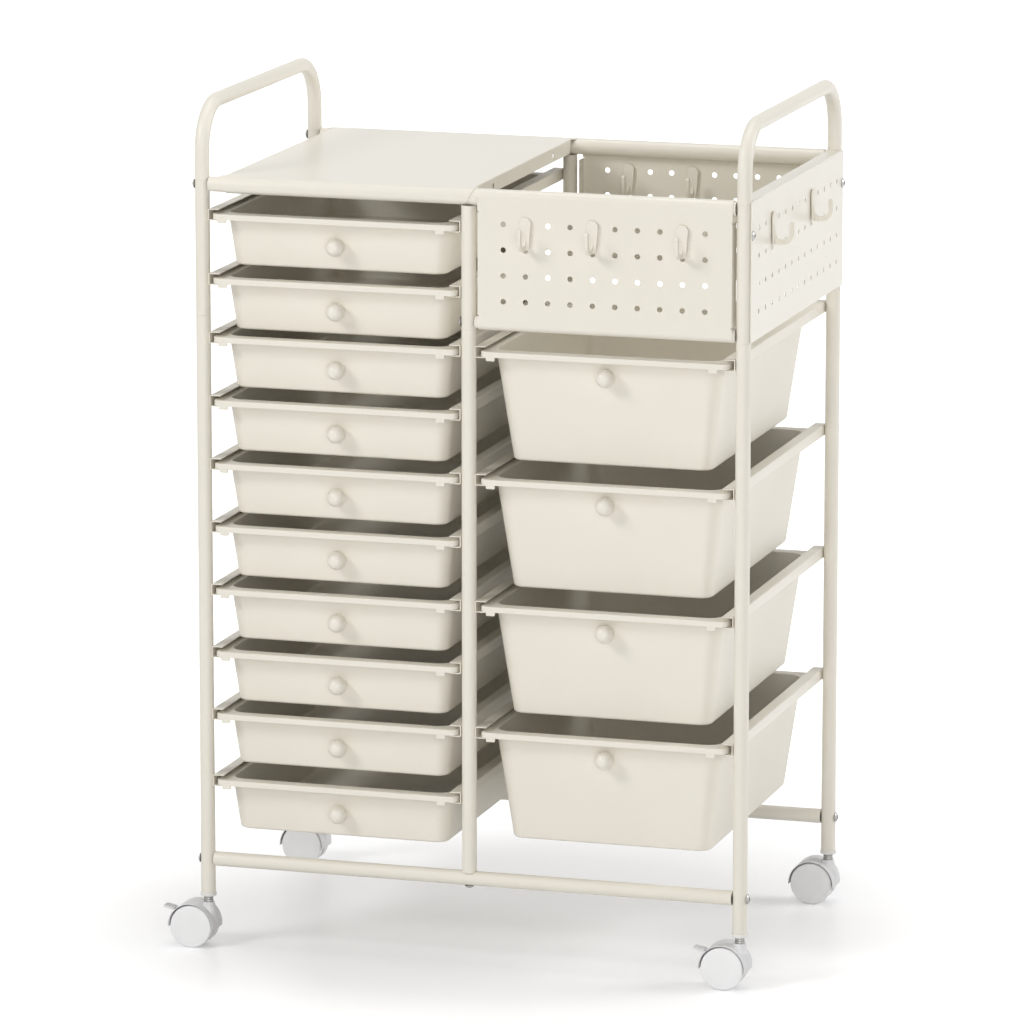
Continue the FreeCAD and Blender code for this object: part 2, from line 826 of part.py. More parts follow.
def make_tray():
    body = new_body("tray")
    bar = top_bar_height
    outer, inner, lip = wrap_radius, wrap_bore, given.wrap_return
    profile = sketch_on(body, "profile", "YZ_Plane", tray_wrap_left)
    draw_path(profile, [
        (-post_y, bar + outer),
        (-post_y - outer, bar, outer, LEFT_TURN),
        (-post_y, bar - outer, outer, LEFT_TURN),
        (-post_y + lip, bar - outer),
        (-post_y + lip, bar - inner),
        (-post_y, bar - inner),
        (-post_y - inner, bar, inner, RIGHT_TURN),
        (-post_y, bar + inner, inner, RIGHT_TURN),
        (post_y, bar + inner),
        (post_y + inner, bar, inner, RIGHT_TURN),
        (post_y, bar - inner, inner, RIGHT_TURN),
        (post_y - lip, bar - inner),
        (post_y - lip, bar - outer),
        (post_y, bar - outer),
        (post_y + outer, bar, outer, LEFT_TURN),
        (post_y, bar + outer, outer, LEFT_TURN),
    ])
    pad(body, profile, tray_wrap_right - tray_wrap_left)
    slants = sketch_on(body, "slants", "XZ_Plane")
    draw_path(slants, [
        (tray_wrap_left, bar + outer),
        (tray_wrap_left, bar - outer),
        (tray_wrap_left + given.seam_run, bar - outer),
    ])
    draw_path(slants, [
        (tray_wrap_right, bar + outer),
        (tray_wrap_right - given.seam_run, bar - outer),
        (tray_wrap_right, bar - outer),
    ])
    pocket_through(body, slants)
    half_depth = post_y - outer - given.skirt_end_gap
    ends = sketch_on(body, "ends", "XY_Plane")
    draw_rectangle(ends, tray_wrap_left - given.sheet, tray_left, -half_depth, half_depth)
    draw_rectangle(ends, tray_right, tray_wrap_right + given.sheet, -half_depth, half_depth)
    pocket_through(body, ends)
    top = bar + outer
    for word, start in (("left", tray_left), ("right", tray_right - given.sheet)):
        skirt = sketch_on(body, f"{word}_skirt", "YZ_Plane", start)
        draw_rectangle(skirt, -half_depth, half_depth, top - given.skirt_height, top)
        pad(body, skirt, given.sheet)
    holes = sketch_on(body, "holes", "YZ_Plane")
    for side in (FRONT, BACK):
        draw_circle(holes, given.skirt_hole_spread * side, bar, given.skirt_hole_diameter / 2)
    pocket_through(body, holes)
    return finish(body)


# Front and rear pegboards: sheet wrapped round the top crossbar and the short crossbar

def make_pegboard(name, side):
    """side is FRONT or BACK, and every Y is measured outwards."""
    body = new_body(name)
    top, low = top_bar_height, short_bar_height
    outer, inner = wrap_radius, wrap_bore
    low_outer, low_inner = short_wrap_radius, short_wrap_bore
    bar, short_bar = post_y, short_bar_y
    with_side = -side
    against = side
    profile = sketch_on(body, "profile", "YZ_Plane", board_left)
    outline = [
        (bar, top - outer),
        (bar - outer, top, outer, with_side),
        (bar, top + outer, outer, with_side),
        (bar + outer, top, outer, with_side),
        (bar + outer, low),
        (short_bar, low - low_outer, low_outer, with_side),
        (short_bar - low_outer, low, low_outer, with_side),
        (short_bar, low + low_outer, low_outer, with_side),
        (short_bar, low + low_inner),
        (short_bar - low_inner, low, low_inner, against),
        (short_bar, low - low_inner, low_inner, against),
        (short_bar + low_inner, low, low_inner, against),
        (bar + inner, top),
        (bar, top + inner, inner, against),
        (bar - inner, top, inner, against),
        (bar, top - inner, inner, against),
    ]
    draw_path(profile, [(corner[0] * side, *corner[1:]) for corner in outline])
    pad(body, profile, board_right - board_left)
    seam_low = tray_wrap_right - given.seam_run + given.seam_gap
    ring = sketch_on(body, "ring", "YZ_Plane", seam_low)
    draw_circle(ring, bar * side, top, outer)
    draw_circle(ring, bar * side, top, inner)
    pad(body, ring, board_left - seam_low)
    seam = sketch_on(body, "seam", "XZ_Plane")
    draw_path(seam, [
        (seam_low, top - outer),
        (seam_low + given.seam_run, top + outer),
        (seam_low, top + outer),
    ])
    pocket_through(body, seam)
    flange_bottom = low + low_outer + given.board_flange_gap
    flange_top = top - outer - given.board_flange_drop
    flanges = sketch_on(body, "flanges", "XY_Plane", flange_bottom)
    edges = [board_face_y * side, (board_face_y - given.board_flange) * side]
    if side == BACK:
        edges.reverse()
    draw_rectangle(flanges, board_left, board_left + given.sheet, *edges)
    draw_rectangle(flanges, board_right - given.sheet, board_right, *edges)
    pad(body, flanges, flange_top - flange_bottom)
    flange_holes = sketch_on(body, "flange_holes", "YZ_Plane")
    hole_y = board_face_y - given.board_flange + given.flange_hole_edge
    draw_circle(flange_holes, hole_y * side, top - given.flange_hole_drop,
                given.flange_hole_diameter / 2)
    pocket_through(body, flange_holes)
    holes = sketch_on(body, "peg_holes", "XZ_Plane")
    bottom_row = board_top_row - given.board_row_pitch * (given.peg_row_count - 1)
    draw_circle(holes, board_column_start, bottom_row, given.peg_hole_diameter / 2)
    document.recompute()
    hole_grid(body, holes, given.board_column_count, board_column_pitch,
              given.peg_row_count, given.board_row_pitch)
    return finish(body)


def make_side_pegboard():
    """Flat board on the outer side of the right posts, its top edge folded in."""
    body = new_body("pegboard_side")
    face, top, sheet_size = side_board_face, side_board_top, given.sheet
    profile = sketch_on(body, "profile", "XZ_Plane")
    draw_path(profile, [
        (face - sheet_size, short_bar_height - given.side_board_drop),
        (face, short_bar_height - given.side_board_drop),
        (face, top),
        (face - given.side_board_flange, top),
        (face - given.side_board_flange, top - sheet_size),
        (face - sheet_size, top - sheet_size),
    ])
    pad(body, profile, 2 * side_board_end, symmetric=True)
    notches = sketch_on(body, "notches", "XY_Plane", top)
    for side in (FRONT, BACK):
        draw_circle(notches, post_x, post_y * side, tube_radius + given.notch_play)
    pocket_depth(body, notches, sheet_size)
    bolt_holes = sketch_on(body, "bolt_holes", "YZ_Plane")
    for side in (FRONT, BACK):
        draw_circle(bolt_holes, post_y * side, side_bolt_height, bolt_hole_radius)
    pocket_through(body, bolt_holes)
    holes = sketch_on(body, "peg_holes", "YZ_Plane")
    bottom_row = side_top_row - given.side_row_pitch * (given.peg_row_count - 1)
    draw_circle(holes, side_column_start, bottom_row, given.peg_hole_diameter / 2)
    document.recompute()
    hole_grid(body, holes, given.side_column_count, side_column_pitch,
              given.peg_row_count, given.side_row_pitch)
    return finish(body)


# Hooks: round-topped plate with a J-shaped blade, held by a barbed peg in a pegboard hole

def make_hook_master():
    """The peg's axis passes through the origin, which lies on the board's face. -Y is outwards."""
    body = new_body("hook")
    radius = given.hook_plate_radius
    centre = given.hook_top - radius
    foot = given.hook_top - given.hook_height
    half_foot = given.hook_foot_width / 2
    rounding = given.hook_foot_radius
    plate = sketch_on(body, "plate", "XZ_Plane", given.hook_standoff)
    draw_path(plate, [
        (radius, centre),
        (0, centre + radius, radius, LEFT_TURN),
        (-radius, centre, radius, LEFT_TURN),
        (-half_foot, foot + rounding),
        (-half_foot + rounding, foot, rounding, LEFT_TURN),
        (half_foot - rounding, foot),
        (half_foot, foot + rounding, rounding, LEFT_TURN),
    ])
    pad(body, plate, given.hook_plate_thickness)
    back = -given.hook_standoff - given.hook_plate_thickness / 2
    face = -given.hook_standoff - given.hook_plate_thickness
    tip_outside = -given.hook_reach
    tip_inside = tip_outside + given.hook_bar
    bend = (face - tip_inside) / 2
    outside_bend = bend + given.hook_bar
    bend_height = foot + outside_bend
    bend_y = face - bend
    tip_round = given.hook_bar / 2
    tip_top = given.hook_top - given.hook_tip_drop
    blade = sketch_on(body, "blade", "YZ_Plane")
    draw_path(blade, [
        (back, foot),
        (back, bend_height),
        (face, bend_height),
        (bend_y, bend_height - bend, bend, RIGHT_TURN),
        (tip_inside, bend_height, bend, RIGHT_TURN),
        (tip_inside, tip_top - tip_round),
        (tip_inside - tip_round, tip_top, tip_round, LEFT_TURN),
        (tip_outside, tip_top - tip_round, tip_round, LEFT_TURN),
        (tip_outside, bend_height),
        (bend_y, foot, outside_bend, LEFT_TURN),
    ])
    pad(body, blade, given.hook_blade, symmetric=True)
    peg = sketch_on(body, "peg", "XZ_Plane", given.hook_standoff)
    draw_circle(peg, 0, 0, given.hook_peg_radius)
    pad(body, peg, given.hook_peg_reach + given.hook_standoff, backwards=True)
    barb = sketch_on(body, "barb", "XZ_Plane", given.hook_barb - given.hook_peg_reach)
    half_blade = given.hook_blade / 2
    draw_rectangle(barb, -half_blade, half_blade, 0, given.hook_barb_height)
    pad(body, barb, given.hook_barb, backwards=True)
    rest = sketch_on(body, "rest", "XZ_Plane", 0)
    draw_circle(rest, 0, foot + given.hook_foot_width / 2, given.hook_blade / 2)
    pad(body, rest, given.hook_standoff)
    return body


def make_hooks():
    master = make_hook_master()
    row = board_top_row
    inner_face = board_face_y - given.sheet
    solids = []
    for number in FRONT_HOOK_COLUMNS:
        x = board_column_start + board_column_pitch * number
        solids.append(copy_of(f"hook_front{number}", master, x, -board_face_y, row))
    for number in REAR_HOOK_COLUMNS:
        x = board_column_start + board_column_pitch * number
        solids.append(copy_of(f"hook_back{number}", master, x, inner_face, row))
    for number in SIDE_HOOK_COLUMNS:
        y = side_column_start + side_column_pitch * number
        solids.append(copy_of(f"hook_side{number}", master, side_board_face, y, side_top_row,
                              QUARTER_TURN))
    return group("pegboard_hooks", solids)


# Drawers: tapered rounded body, rim flange, turned-down lip and two stop tabs

def drawer_section(body, name, height, inset, radius):
    sketch = sketch_on(body, name, "XY_Plane", height)
    side = rim_half_width - given.side_inset - inset
    front = rim_front - given.end_inset - inset
    back = rim_back - given.end_inset - inset
    draw_rounded_rectangle(sketch, -side, side, -front, back, radius)
    return sketch


def rim_ring(body, name, top, inner_inset_side, inner_inset_end, inner_radius):
    sketch = sketch_on(body, name, "XY_Plane", top)
    half = rim_half_width
    draw_rounded_rectangle(sketch, -half, half, -rim_front, rim_back, given.rim_corner_radius)
    draw_rounded_rectangle(sketch, inner_inset_side - half, half - inner_inset_side,
                           inner_inset_end - rim_front, rim_back - inner_inset_end, inner_radius)
    return sketch


def make_drawer_master(name, depth, knob_drop):
    """The rim's top is at z = 0, x = 0 is the middle of the bay and y = 0 that of the cart."""
    body = new_body(name)
    slope = tangent(given.draft_angle)
    wall = given.drawer_wall
    outside = [
        drawer_section(body, "outside_top", 0, 0, given.body_corner_radius),
        drawer_section(body, "outside_floor", -depth, slope * depth, given.floor_corner_radius),
    ]
    outer_form = loft(body, "AdditiveLoft", outside)
    document.recompute()
    floor_edges = [f"Edge{number}" for number, edge in enumerate(outer_form.Shape.Edges, start=1)
                   if edge.BoundBox.ZMax < given.sheet.number - depth.number]
    rounding = body.newObject("PartDesign::Fillet", f"{name}_floor_rounding")
    rounding.Base = (outer_form, floor_edges)
    bind(rounding, "Radius", given.floor_fillet)
    inner_depth = depth - wall
    inside = [
        drawer_section(body, "inside_top", 0, wall, given.body_corner_radius - wall),
        drawer_section(body, "inside_floor", -inner_depth, wall + slope * inner_depth,
                       given.floor_corner_radius - wall),
    ]
    loft(body, "SubtractiveLoft", inside)
    rim = rim_ring(body, "rim", 0, given.side_inset + wall, given.end_inset + wall,
                   given.body_corner_radius - wall)
    pad(body, rim, given.rim_thickness, backwards=True)
    lip = rim_ring(body, "lip", 0, given.lip_thickness, given.lip_thickness,
                   given.rim_corner_radius - given.lip_thickness)
    pad(body, lip, given.lip_height, backwards=True)
    tabs = sketch_on(body, "tabs", "XY_Plane", -given.lip_height)
    half = rim_half_width
    front = -rim_front
    for start in (given.tab_left_inset - half, half - given.tab_right_inset - given.tab_width):
        draw_rectangle(tabs, start, start + given.tab_width, front, front + given.lip_thickness)
    pad(body, tabs, given.tab_drop, backwards=True)
    hole = sketch_on(body, "knob_hole", "XZ_Plane", rim_front)
    draw_circle(hole, 0, -knob_drop, given.screw_radius + given.screw_hole_play)
    pocket_depth(body, hole, 2 * given.end_inset + slope * depth)
    return body


# Knobs: a ball on a short neck, turned about the axis of its screw

def make_knob_master():
    """The back of the neck is at the origin. +Z points outwards along the screw."""
    body = new_body("knob")
    neck, radius = given.knob_neck_radius, given.knob_radius
    length, bore = given.knob_length, given.screw_radius
    centre = given.knob_length - radius
    sketch = sketch_on(body, "profile", "XZ_Plane")
    waist = given.knob_neck_length
    rise = centre - waist
    base_radius = root(radius * radius - rise * rise)
    draw_path(sketch, [
        (bore, 0),
        (neck, 0),
        (neck, waist),
        (base_radius, waist),
        (radius, centre, radius, LEFT_TURN),
        (0, length, radius, LEFT_TURN),
        (0, given.knob_bore_depth),
        (bore, given.knob_bore_depth),
    ])
    revolve(body, sketch)
    return body


def make_screw_master():
    """Pan-headed screw. It starts on the inner face of the drawer wall and runs into the knob."""
    body = new_body("knob_screw")
    head, shank = given.screw_head_radius, given.screw_radius
    wall = given.drawer_wall
    sketch = sketch_on(body, "profile", "XZ_Plane")
    draw_path(sketch, [
        (0, -wall - given.screw_head_height),
        (head - given.screw_head_height / 2, -wall - given.screw_head_height),
        (head, -wall - given.screw_head_height / 2, given.screw_head_height / 2, LEFT_TURN),
        (head, -wall),
        (shank, -wall),
        (shank, given.knob_bore_depth - given.end_play),
        (0, given.knob_bore_depth - given.end_play),
    ])
    revolve(body, sketch)
    return body


def make_drawers():
    knob, screw = make_knob_master(), make_screw_master()
    shallow = make_drawer_master("shallow_drawer", given.shallow_depth, given.shallow_knob_drop)
    deep = make_drawer_master("deep_drawer", given.deep_depth, given.deep_knob_drop)
    slope = tangent(given.draft_angle)
    tilt = FreeCAD.Rotation(FreeCAD.Vector(1, 0, 0), 90 + given.draft_angle.number)
    bays = (
        ("shallow", shallow, left_bay_x, shallow_rows, given.shallow_knob_drop),
        ("deep", deep, right_bay_x, deep_rows, given.deep_knob_drop),
    )
    for word, master, x, rows, drop in bays:
        wall_y = rim_front - given.end_inset - slope * drop
        for number, height in enumerate(rows, start=1):
            drawer = copy_of(f"{word}_drawer_{number:02d}", master, 0, 0, 0)
            finish(drawer, x, 0, height)
            pieces = [
                copy_of(f"{word}_ball_{number:02d}", knob, 0, 0, 0, tilt),
                copy_of(f"{word}_screw_{number:02d}", screw, 0, 0, 0, tilt),
            ]
            group(f"{word}_knob_{number:02d}", pieces, x, -wall_y, height - drop)


# Casters: post socket, stem, hood with boss, wheel pair on its axle, and brake lever

def make_socket_master():
    """End socket of a post: flange under the tube and plug inside it, from the tube's foot."""
    body = new_body("post_socket")
    bore = given.stem_neck_radius + given.stem_play
    plug = tube_bore - given.tube_play
    flange = tube_radius + given.socket_flange_reach
    sketch = sketch_on(body, "profile", "XZ_Plane")
    draw_path(sketch, [
        (bore, -given.socket_flange_height),
        (flange, -given.socket_flange_height),
        (flange, 0),
        (plug, 0),
        (plug, given.socket_plug_length),
        (bore, given.socket_plug_length),
    ])
    revolve(body, sketch)
    return body


def make_stem_master():
    """Caster stem, from the axle's height: pivot pin in the hood, collar, shank in the socket."""
    body = new_body("caster_stem")
    pin, neck, collar = given.stem_pin_radius, given.stem_neck_radius, given.stem_collar_radius
    shoulder = boss_top + given.end_play
    foot = boss_top - given.stem_pin_length
    seat = socket_bottom - given.wheel_radius
    collar_low = (shoulder + seat - given.stem_collar_height) / 2
    collar_high = collar_low + given.stem_collar_height
    top = post_foot_height - given.wheel_radius + given.stem_shank_length
    sketch = sketch_on(body, "profile", "XZ_Plane")
    draw_path(sketch, [
        (0, foot),
        (pin, foot),
        (pin, shoulder),
        (neck, shoulder),
        (neck, collar_low),
        (collar, collar_low),
        (collar, collar_high),
        (neck, collar_high),
        (neck, top),
        (0, top),
    ])
    revolve(body, sketch)
    return body


def make_hood_master(name, braked):
    """Hood over a wheel pair. The origin is the middle of the axle, and the stem is at +X."""
    body = new_body(name)
    trail = given.caster_trail
    radius, bore = hood_radius, hood_bore
    shell = sketch_on(body, "shell", "XZ_Plane")
    draw_path(shell, [
        (-radius, -given.hood_left_drop),
        (radius, -given.hood_right_drop),
        (radius, 0),
        (0, radius, radius, LEFT_TURN),
        (-radius, 0, radius, LEFT_TURN),
    ])
    pad(body, shell, given.caster_width, symmetric=True)
    boss = sketch_on(body, "boss", "XZ_Plane")
    draw_path(boss, [
        (trail, boss_foot),
        (trail + given.boss_foot_radius, boss_foot),
        (trail + given.boss_radius, boss_top),
        (trail, boss_top),
    ])
    turned = body.newObject("PartDesign::Revolution", f"{name}_boss_turn")
    turned.Profile = boss
    turned.ReferenceAxis = (boss, ["Edge4"])
    turned.Angle = 360
    for word, backwards in (("front", False), ("back", True)):
        offset = given.web_width / 2 if word == "front" else -given.web_width / 2
        well = sketch_on(body, f"{word}_well", "XZ_Plane", offset)
        draw_circle(well, 0, 0, bore)
        pocket_depth(body, well, given.caster_width, not backwards)
    hub = sketch_on(body, "hub", "XZ_Plane")
    draw_circle(hub, 0, 0, given.hub_radius)
    pad(body, hub, given.web_width, symmetric=True)
    axle_bore = sketch_on(body, "axle_bore", "XZ_Plane")
    draw_circle(axle_bore, 0, 0, given.axle_radius + given.axle_play)
    pocket_through(body, axle_bore)
    stem_bore = sketch_on(body, "stem_bore", "XY_Plane", boss_top)
    draw_circle(stem_bore, trail, 0, given.stem_pin_radius + given.stem_play)
    pocket_depth(body, stem_bore, given.stem_pin_length + given.end_play)
    if braked:
        slot = sketch_on(body, "slot", "XZ_Plane")
        slot_end = given.lever_eye_radius + given.end_play - given.lever_pivot_back
        draw_rectangle(slot, -2 * radius, slot_end, lever_pivot_rise - given.lever_slot_below,
                       lever_pivot_rise + given.lever_slot_above)
        feature = pocket_depth(body, slot, given.lever_arm_width + 2 * given.lever_slot_play)
        feature.SideType = "Symmetric"
        pin_bore = sketch_on(body, "pin_bore", "XZ_Plane")
        draw_circle(pin_bore, -given.lever_pivot_back, lever_pivot_rise,
                    given.lever_pin_radius + given.axle_play)
        pocket_through(body, pin_bore)
    return body


def make_wheel_master():
    """One wheel of a pair: outer disc, tread and hub, open towards the web. -Y is outwards."""
    body = new_body("caster_wheel")
    outer = -given.caster_width / 2 + given.wheel_recess
    inner = -given.web_width / 2 - given.wheel_side_gap
    disc = outer + given.wheel_disc
    radius, edge = given.wheel_radius, given.tread_edge_radius
    tread = radius - given.tread_wall
    sketch = sketch_on(body, "profile", "XY_Plane")
    draw_path(sketch, [
        (0, outer),
        (radius - edge, outer),
        (radius, outer + edge, edge, LEFT_TURN),
        (radius, inner),
        (tread, inner),
        (tread, disc),
        (given.wheel_hub_radius, disc),
        (given.wheel_hub_radius, inner),
        (given.axle_radius, inner),
        (given.axle_radius, -axle_length / 2),
        (0, -axle_length / 2),
    ])
    revolve(body, sketch)
    return body


def make_lever_master():
    """Brake lever: eye with its pin, thin arm through the hood's slot, ribbed pad outside.
    The origin is the pin's axis, and the lever runs along -X before it is sloped."""
    body = new_body("brake_lever_form")
    half = lever_half
    eye = given.lever_eye_radius
    arm = sketch_on(body, "arm", "XZ_Plane")
    draw_rectangle(arm, -given.lever_pad_start - half, 0, -half, half)
    pad(body, arm, given.lever_arm_width, symmetric=True)
    ring = sketch_on(body, "eye", "XZ_Plane")
    draw_circle(ring, 0, 0, eye)
    pad(body, ring, given.lever_arm_width, symmetric=True)
    tread = sketch_on(body, "pad", "XZ_Plane")
    draw_path(tread, [
        (-given.lever_pad_start, -half),
        (-given.lever_pad_start, half),
        (-given.lever_reach + half, half),
        (-given.lever_reach, 0, half, LEFT_TURN),
        (-given.lever_reach + half, -half, half, LEFT_TURN),
    ])
    pad(body, tread, given.lever_pad_width, symmetric=True)
    grooves = sketch_on(body, "grooves", "XZ_Plane")
    for number in range(int(given.rib_count.number)):
        start = -given.lever_reach + half + given.rib_pitch * number
        draw_rectangle(grooves, start, start + given.rib_pitch / 2, half - given.rib_depth,
                       half + given.rib_depth)
    pocket_through(body, grooves)
    pin = sketch_on(body, "pin", "XZ_Plane")
    draw_circle(pin, 0, 0, given.lever_pin_radius)
    pad(body, pin, given.web_width, symmetric=True)
    return body


def make_casters():
    socket, stem = make_socket_master(), make_stem_master()
    plain_hood = make_hood_master("plain_hood", braked=False)
    braked_hood = make_hood_master("braked_hood", braked=True)
    wheel, lever = make_wheel_master(), make_lever_master()
    sockets, stems = [], []
    slope = FreeCAD.Rotation(FreeCAD.Vector(0, 1, 0), given.lever_slope.number)
    for end_word, end in ENDS:
        for side_word, side in SIDES:
            spot = f"{end_word}_{side_word}"
            x = post_x * side
            y = post_y * end
            axle_x = x - given.caster_trail
            sockets.append(copy_of(f"socket_{spot}", socket, x, y, post_foot_height))
            stems.append(copy_of(f"stem_{spot}", stem, x, y, given.wheel_radius))
            braked = end == FRONT
            hood = copy_of(f"caster_hood_{spot}", braked_hood if braked else plain_hood, 0, 0, 0)
            finish(hood, axle_x, y, given.wheel_radius)
            axle = cylinder(f"axle_{spot}", given.axle_radius, axle_length, 0, -axle_length / 2, 0,
                            ALONG_Y)
            wheels = [
                copy_of(f"wheel_near_{spot}", wheel, 0, 0, 0),
                copy_of(f"wheel_far_{spot}", wheel, 0, 0, 0, HALF_TURN),
                axle,
            ]
            group(f"caster_wheels_{spot}", wheels, axle_x, y, given.wheel_radius)
            if braked:
                arm = copy_of(f"lever_{spot}", lever, 0, 0, 0, slope)
                group(f"brake_lever_{spot}", [arm], axle_x - given.lever_pivot_back, y,
                      given.wheel_radius + lever_pivot_rise)
    group("post_sockets", sockets)
    group("caster_stems", stems)


def make_frame():
    make_outer_posts("left_posts", -post_x, LEFT)
    make_middle_posts()
    make_outer_posts("right_posts", post_x, RIGHT)
    make_sleeves()
    make_handle("handle_left", -post_x)
    make_handle("handle_right", post_x)
    make_long_crossbars("top_crossbars", top_bar_height)
    make_long_crossbars("bottom_crossbars", bottom_bar_height, post_bolt=True)
    make_short_crossbars()
    make_inserts()
    make_frame_bolts()
    runner = make_runner_master()
    inner_face = post_x - tube_radius
    make_runners("left_runners", runner, [("row", -inner_face, None, shallow_rows)])
    make_runners("middle_runners", runner, [
        ("left", middle_x - tube_radius, HALF_TURN, shallow_rows),
        ("right", middle_x + tube_radius, None, deep_rows),
    ])
    make_runners("right_runners", runner, [("row", inner_face, HALF_TURN, deep_rows)])


def check_and_export():
    document.recompute()
    for thing in document.Objects:
        if "Invalid" in thing.State or "Error" in thing.State:
            raise RuntimeError(f"{thing.Label} did not rebuild: {thing.State}")
    os.makedirs("parts", exist_ok=True)
    for thing in sub_parts:
        shape = thing.Shape
        if shape.isNull() or not shape.isValid() or not shape.Solids:
            raise RuntimeError(f"{thing.Label} has no valid shape")
        shape.exportStep(f"parts/{thing.Label}.step")
    print(len(sub_parts), "sub-parts written")


make_frame()
make_tray()
make_pegboard("pegboard_front", FRONT)
make_pegboard("pegboard_rear", BACK)
make_side_pegboard()
make_hooks()
make_drawers()
make_casters()
check_and_export()
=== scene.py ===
# %% [markdown]
# # A rolling drawer cart, dressed in Blender
# The cart is a frame of cream powder-coated steel tube on four twin-wheel casters. Ten shallow
# drawers hang in its left bay under a sheet tray, and four deep ones in its right bay under a bin
# of pegboards. The CAD part gives every place and size. This script builds a finer visible skin
# round it, piece by piece, and gives each piece a material that is made of nodes.

import json
import math

import bmesh
import bpy
from mathutils import Matrix, Vector
from mathutils.geometry import delaunay_2d_cdt


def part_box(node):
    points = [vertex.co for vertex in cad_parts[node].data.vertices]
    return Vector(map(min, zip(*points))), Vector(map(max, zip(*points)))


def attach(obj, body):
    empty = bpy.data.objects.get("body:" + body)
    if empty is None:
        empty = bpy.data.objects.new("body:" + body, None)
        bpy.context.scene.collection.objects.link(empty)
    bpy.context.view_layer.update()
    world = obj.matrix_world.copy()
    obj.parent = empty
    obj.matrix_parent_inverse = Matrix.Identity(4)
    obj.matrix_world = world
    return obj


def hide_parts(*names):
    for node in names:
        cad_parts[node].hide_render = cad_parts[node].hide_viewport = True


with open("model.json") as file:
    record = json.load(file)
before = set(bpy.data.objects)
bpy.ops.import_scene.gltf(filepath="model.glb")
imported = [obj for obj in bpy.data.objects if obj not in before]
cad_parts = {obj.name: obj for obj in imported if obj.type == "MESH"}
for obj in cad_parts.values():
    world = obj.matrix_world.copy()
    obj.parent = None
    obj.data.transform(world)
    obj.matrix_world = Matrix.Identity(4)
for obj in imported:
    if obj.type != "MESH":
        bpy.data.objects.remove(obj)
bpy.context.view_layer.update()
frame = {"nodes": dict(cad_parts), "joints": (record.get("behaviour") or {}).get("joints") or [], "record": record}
scene = bpy.context.scene

# %% [markdown]
# ## Where things are
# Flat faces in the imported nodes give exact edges, and the joints give exact axes: a caster's
# swivel stands under its post, and a wheel turns on its axle. All shapes below are written in
# millimetres, which are the units such a cart is drawn in, and turned into metres at the end.

# %% Read places from the frame
MM = 0.001
joints = {joint["name"]: joint for joint in frame["joints"]}


def box_mm(node):
    low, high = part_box(node)
    return low / MM, high / MM


def axis_place(joint):
    return Vector(joints[joint]["pos_m"]) / MM


def add_object(name, data):
    thing = bpy.data.objects.new(name, data)
    scene.collection.objects.link(thing)
    return thing


front_left = axis_place("caster_swivel_front_left")
back_right = axis_place("caster_swivel_back_right")
left_x, front_y = front_left.x, front_left.y
right_x, back_y = back_right.x, back_right.y
mid_y = (front_y + back_y) / 2
middle_low, middle_high = box_mm("middle_posts")
middle_x = (middle_low.x + middle_high.x) / 2
rows = {"front": front_y, "back": back_y}
row_sides = ((front_y, -1), (back_y, 1))
print(f"posts at x {left_x:.1f}, {middle_x:.1f}, {right_x:.1f} and y {front_y:.1f}, {back_y:.1f}")

# %% [markdown]
# ## The camera
# The photograph looks down a little from the right-hand side through a long lens. The camera's
# direction, distance and lens were worked out from the posts and crossbars in the photograph.
# It is aimed at a point inside the cart, with no shift and no depth of field.

# %% Camera
CAMERA_AZIMUTH = 17.01
CAMERA_ELEVATION = 11.53
CAMERA_DISTANCE = 7.6296
CAMERA_TARGET = Vector((-0.0025, 0.0080, 0.4649))
CAMERA_LENS = 244.66


def make_camera():
    azimuth = math.radians(CAMERA_AZIMUTH)
    elevation = math.radians(CAMERA_ELEVATION)
    level = math.cos(elevation)
    back = Vector((math.sin(azimuth) * level, -math.cos(azimuth) * level, math.sin(elevation)))
    data = bpy.data.cameras.new("product_camera")
    data.lens = CAMERA_LENS
    data.clip_end = 100
    camera = add_object("product_camera", data)
    camera.location = CAMERA_TARGET + back * CAMERA_DISTANCE
    camera.rotation_euler = (-back).to_track_quat("-Z", "Y").to_euler()
    scene.camera = camera


make_camera()
print("camera at", [round(value, 3) for value in scene.camera.location])

# %% [markdown]
# ## Materials
# Everything on the cart is cream or off-white, so the finishes differ in gloss and in their fine
# relief. Powder coat flows out into a faint orange peel. Moulded plastic has a fine even grain.
# Two effects are shared by all of them, so each is one node group: a slow drift of the colour,
# and a fine grain that gives a roughness and a height.

# %% Helpers for node trees
def new_group(name, inputs, outputs):
    group = bpy.data.node_groups.new(name, "ShaderNodeTree")
    for label, kind, default in inputs:
        socket = group.interface.new_socket(label, in_out="INPUT", socket_type=kind)
        socket.default_value = default
    for label, kind in outputs:
        group.interface.new_socket(label, in_out="OUTPUT", socket_type=kind)
    return group, group.nodes.new("NodeGroupInput"), group.nodes.new("NodeGroupOutput")


def set_sockets(node, **values):
    """Roughness=0.3 sets the socket Roughness, and From_Min=0.3 the socket From Min."""
    for label, value in values.items():
        node.inputs[label.replace("_", " ")].default_value = value
    return node


def wire(links, *wires):
    """Each wire is (node, its output, node, its input)."""
    for source, output, target, entry in wires:
        links.new(source.outputs[output], target.inputs[entry])


print("node helpers ready")

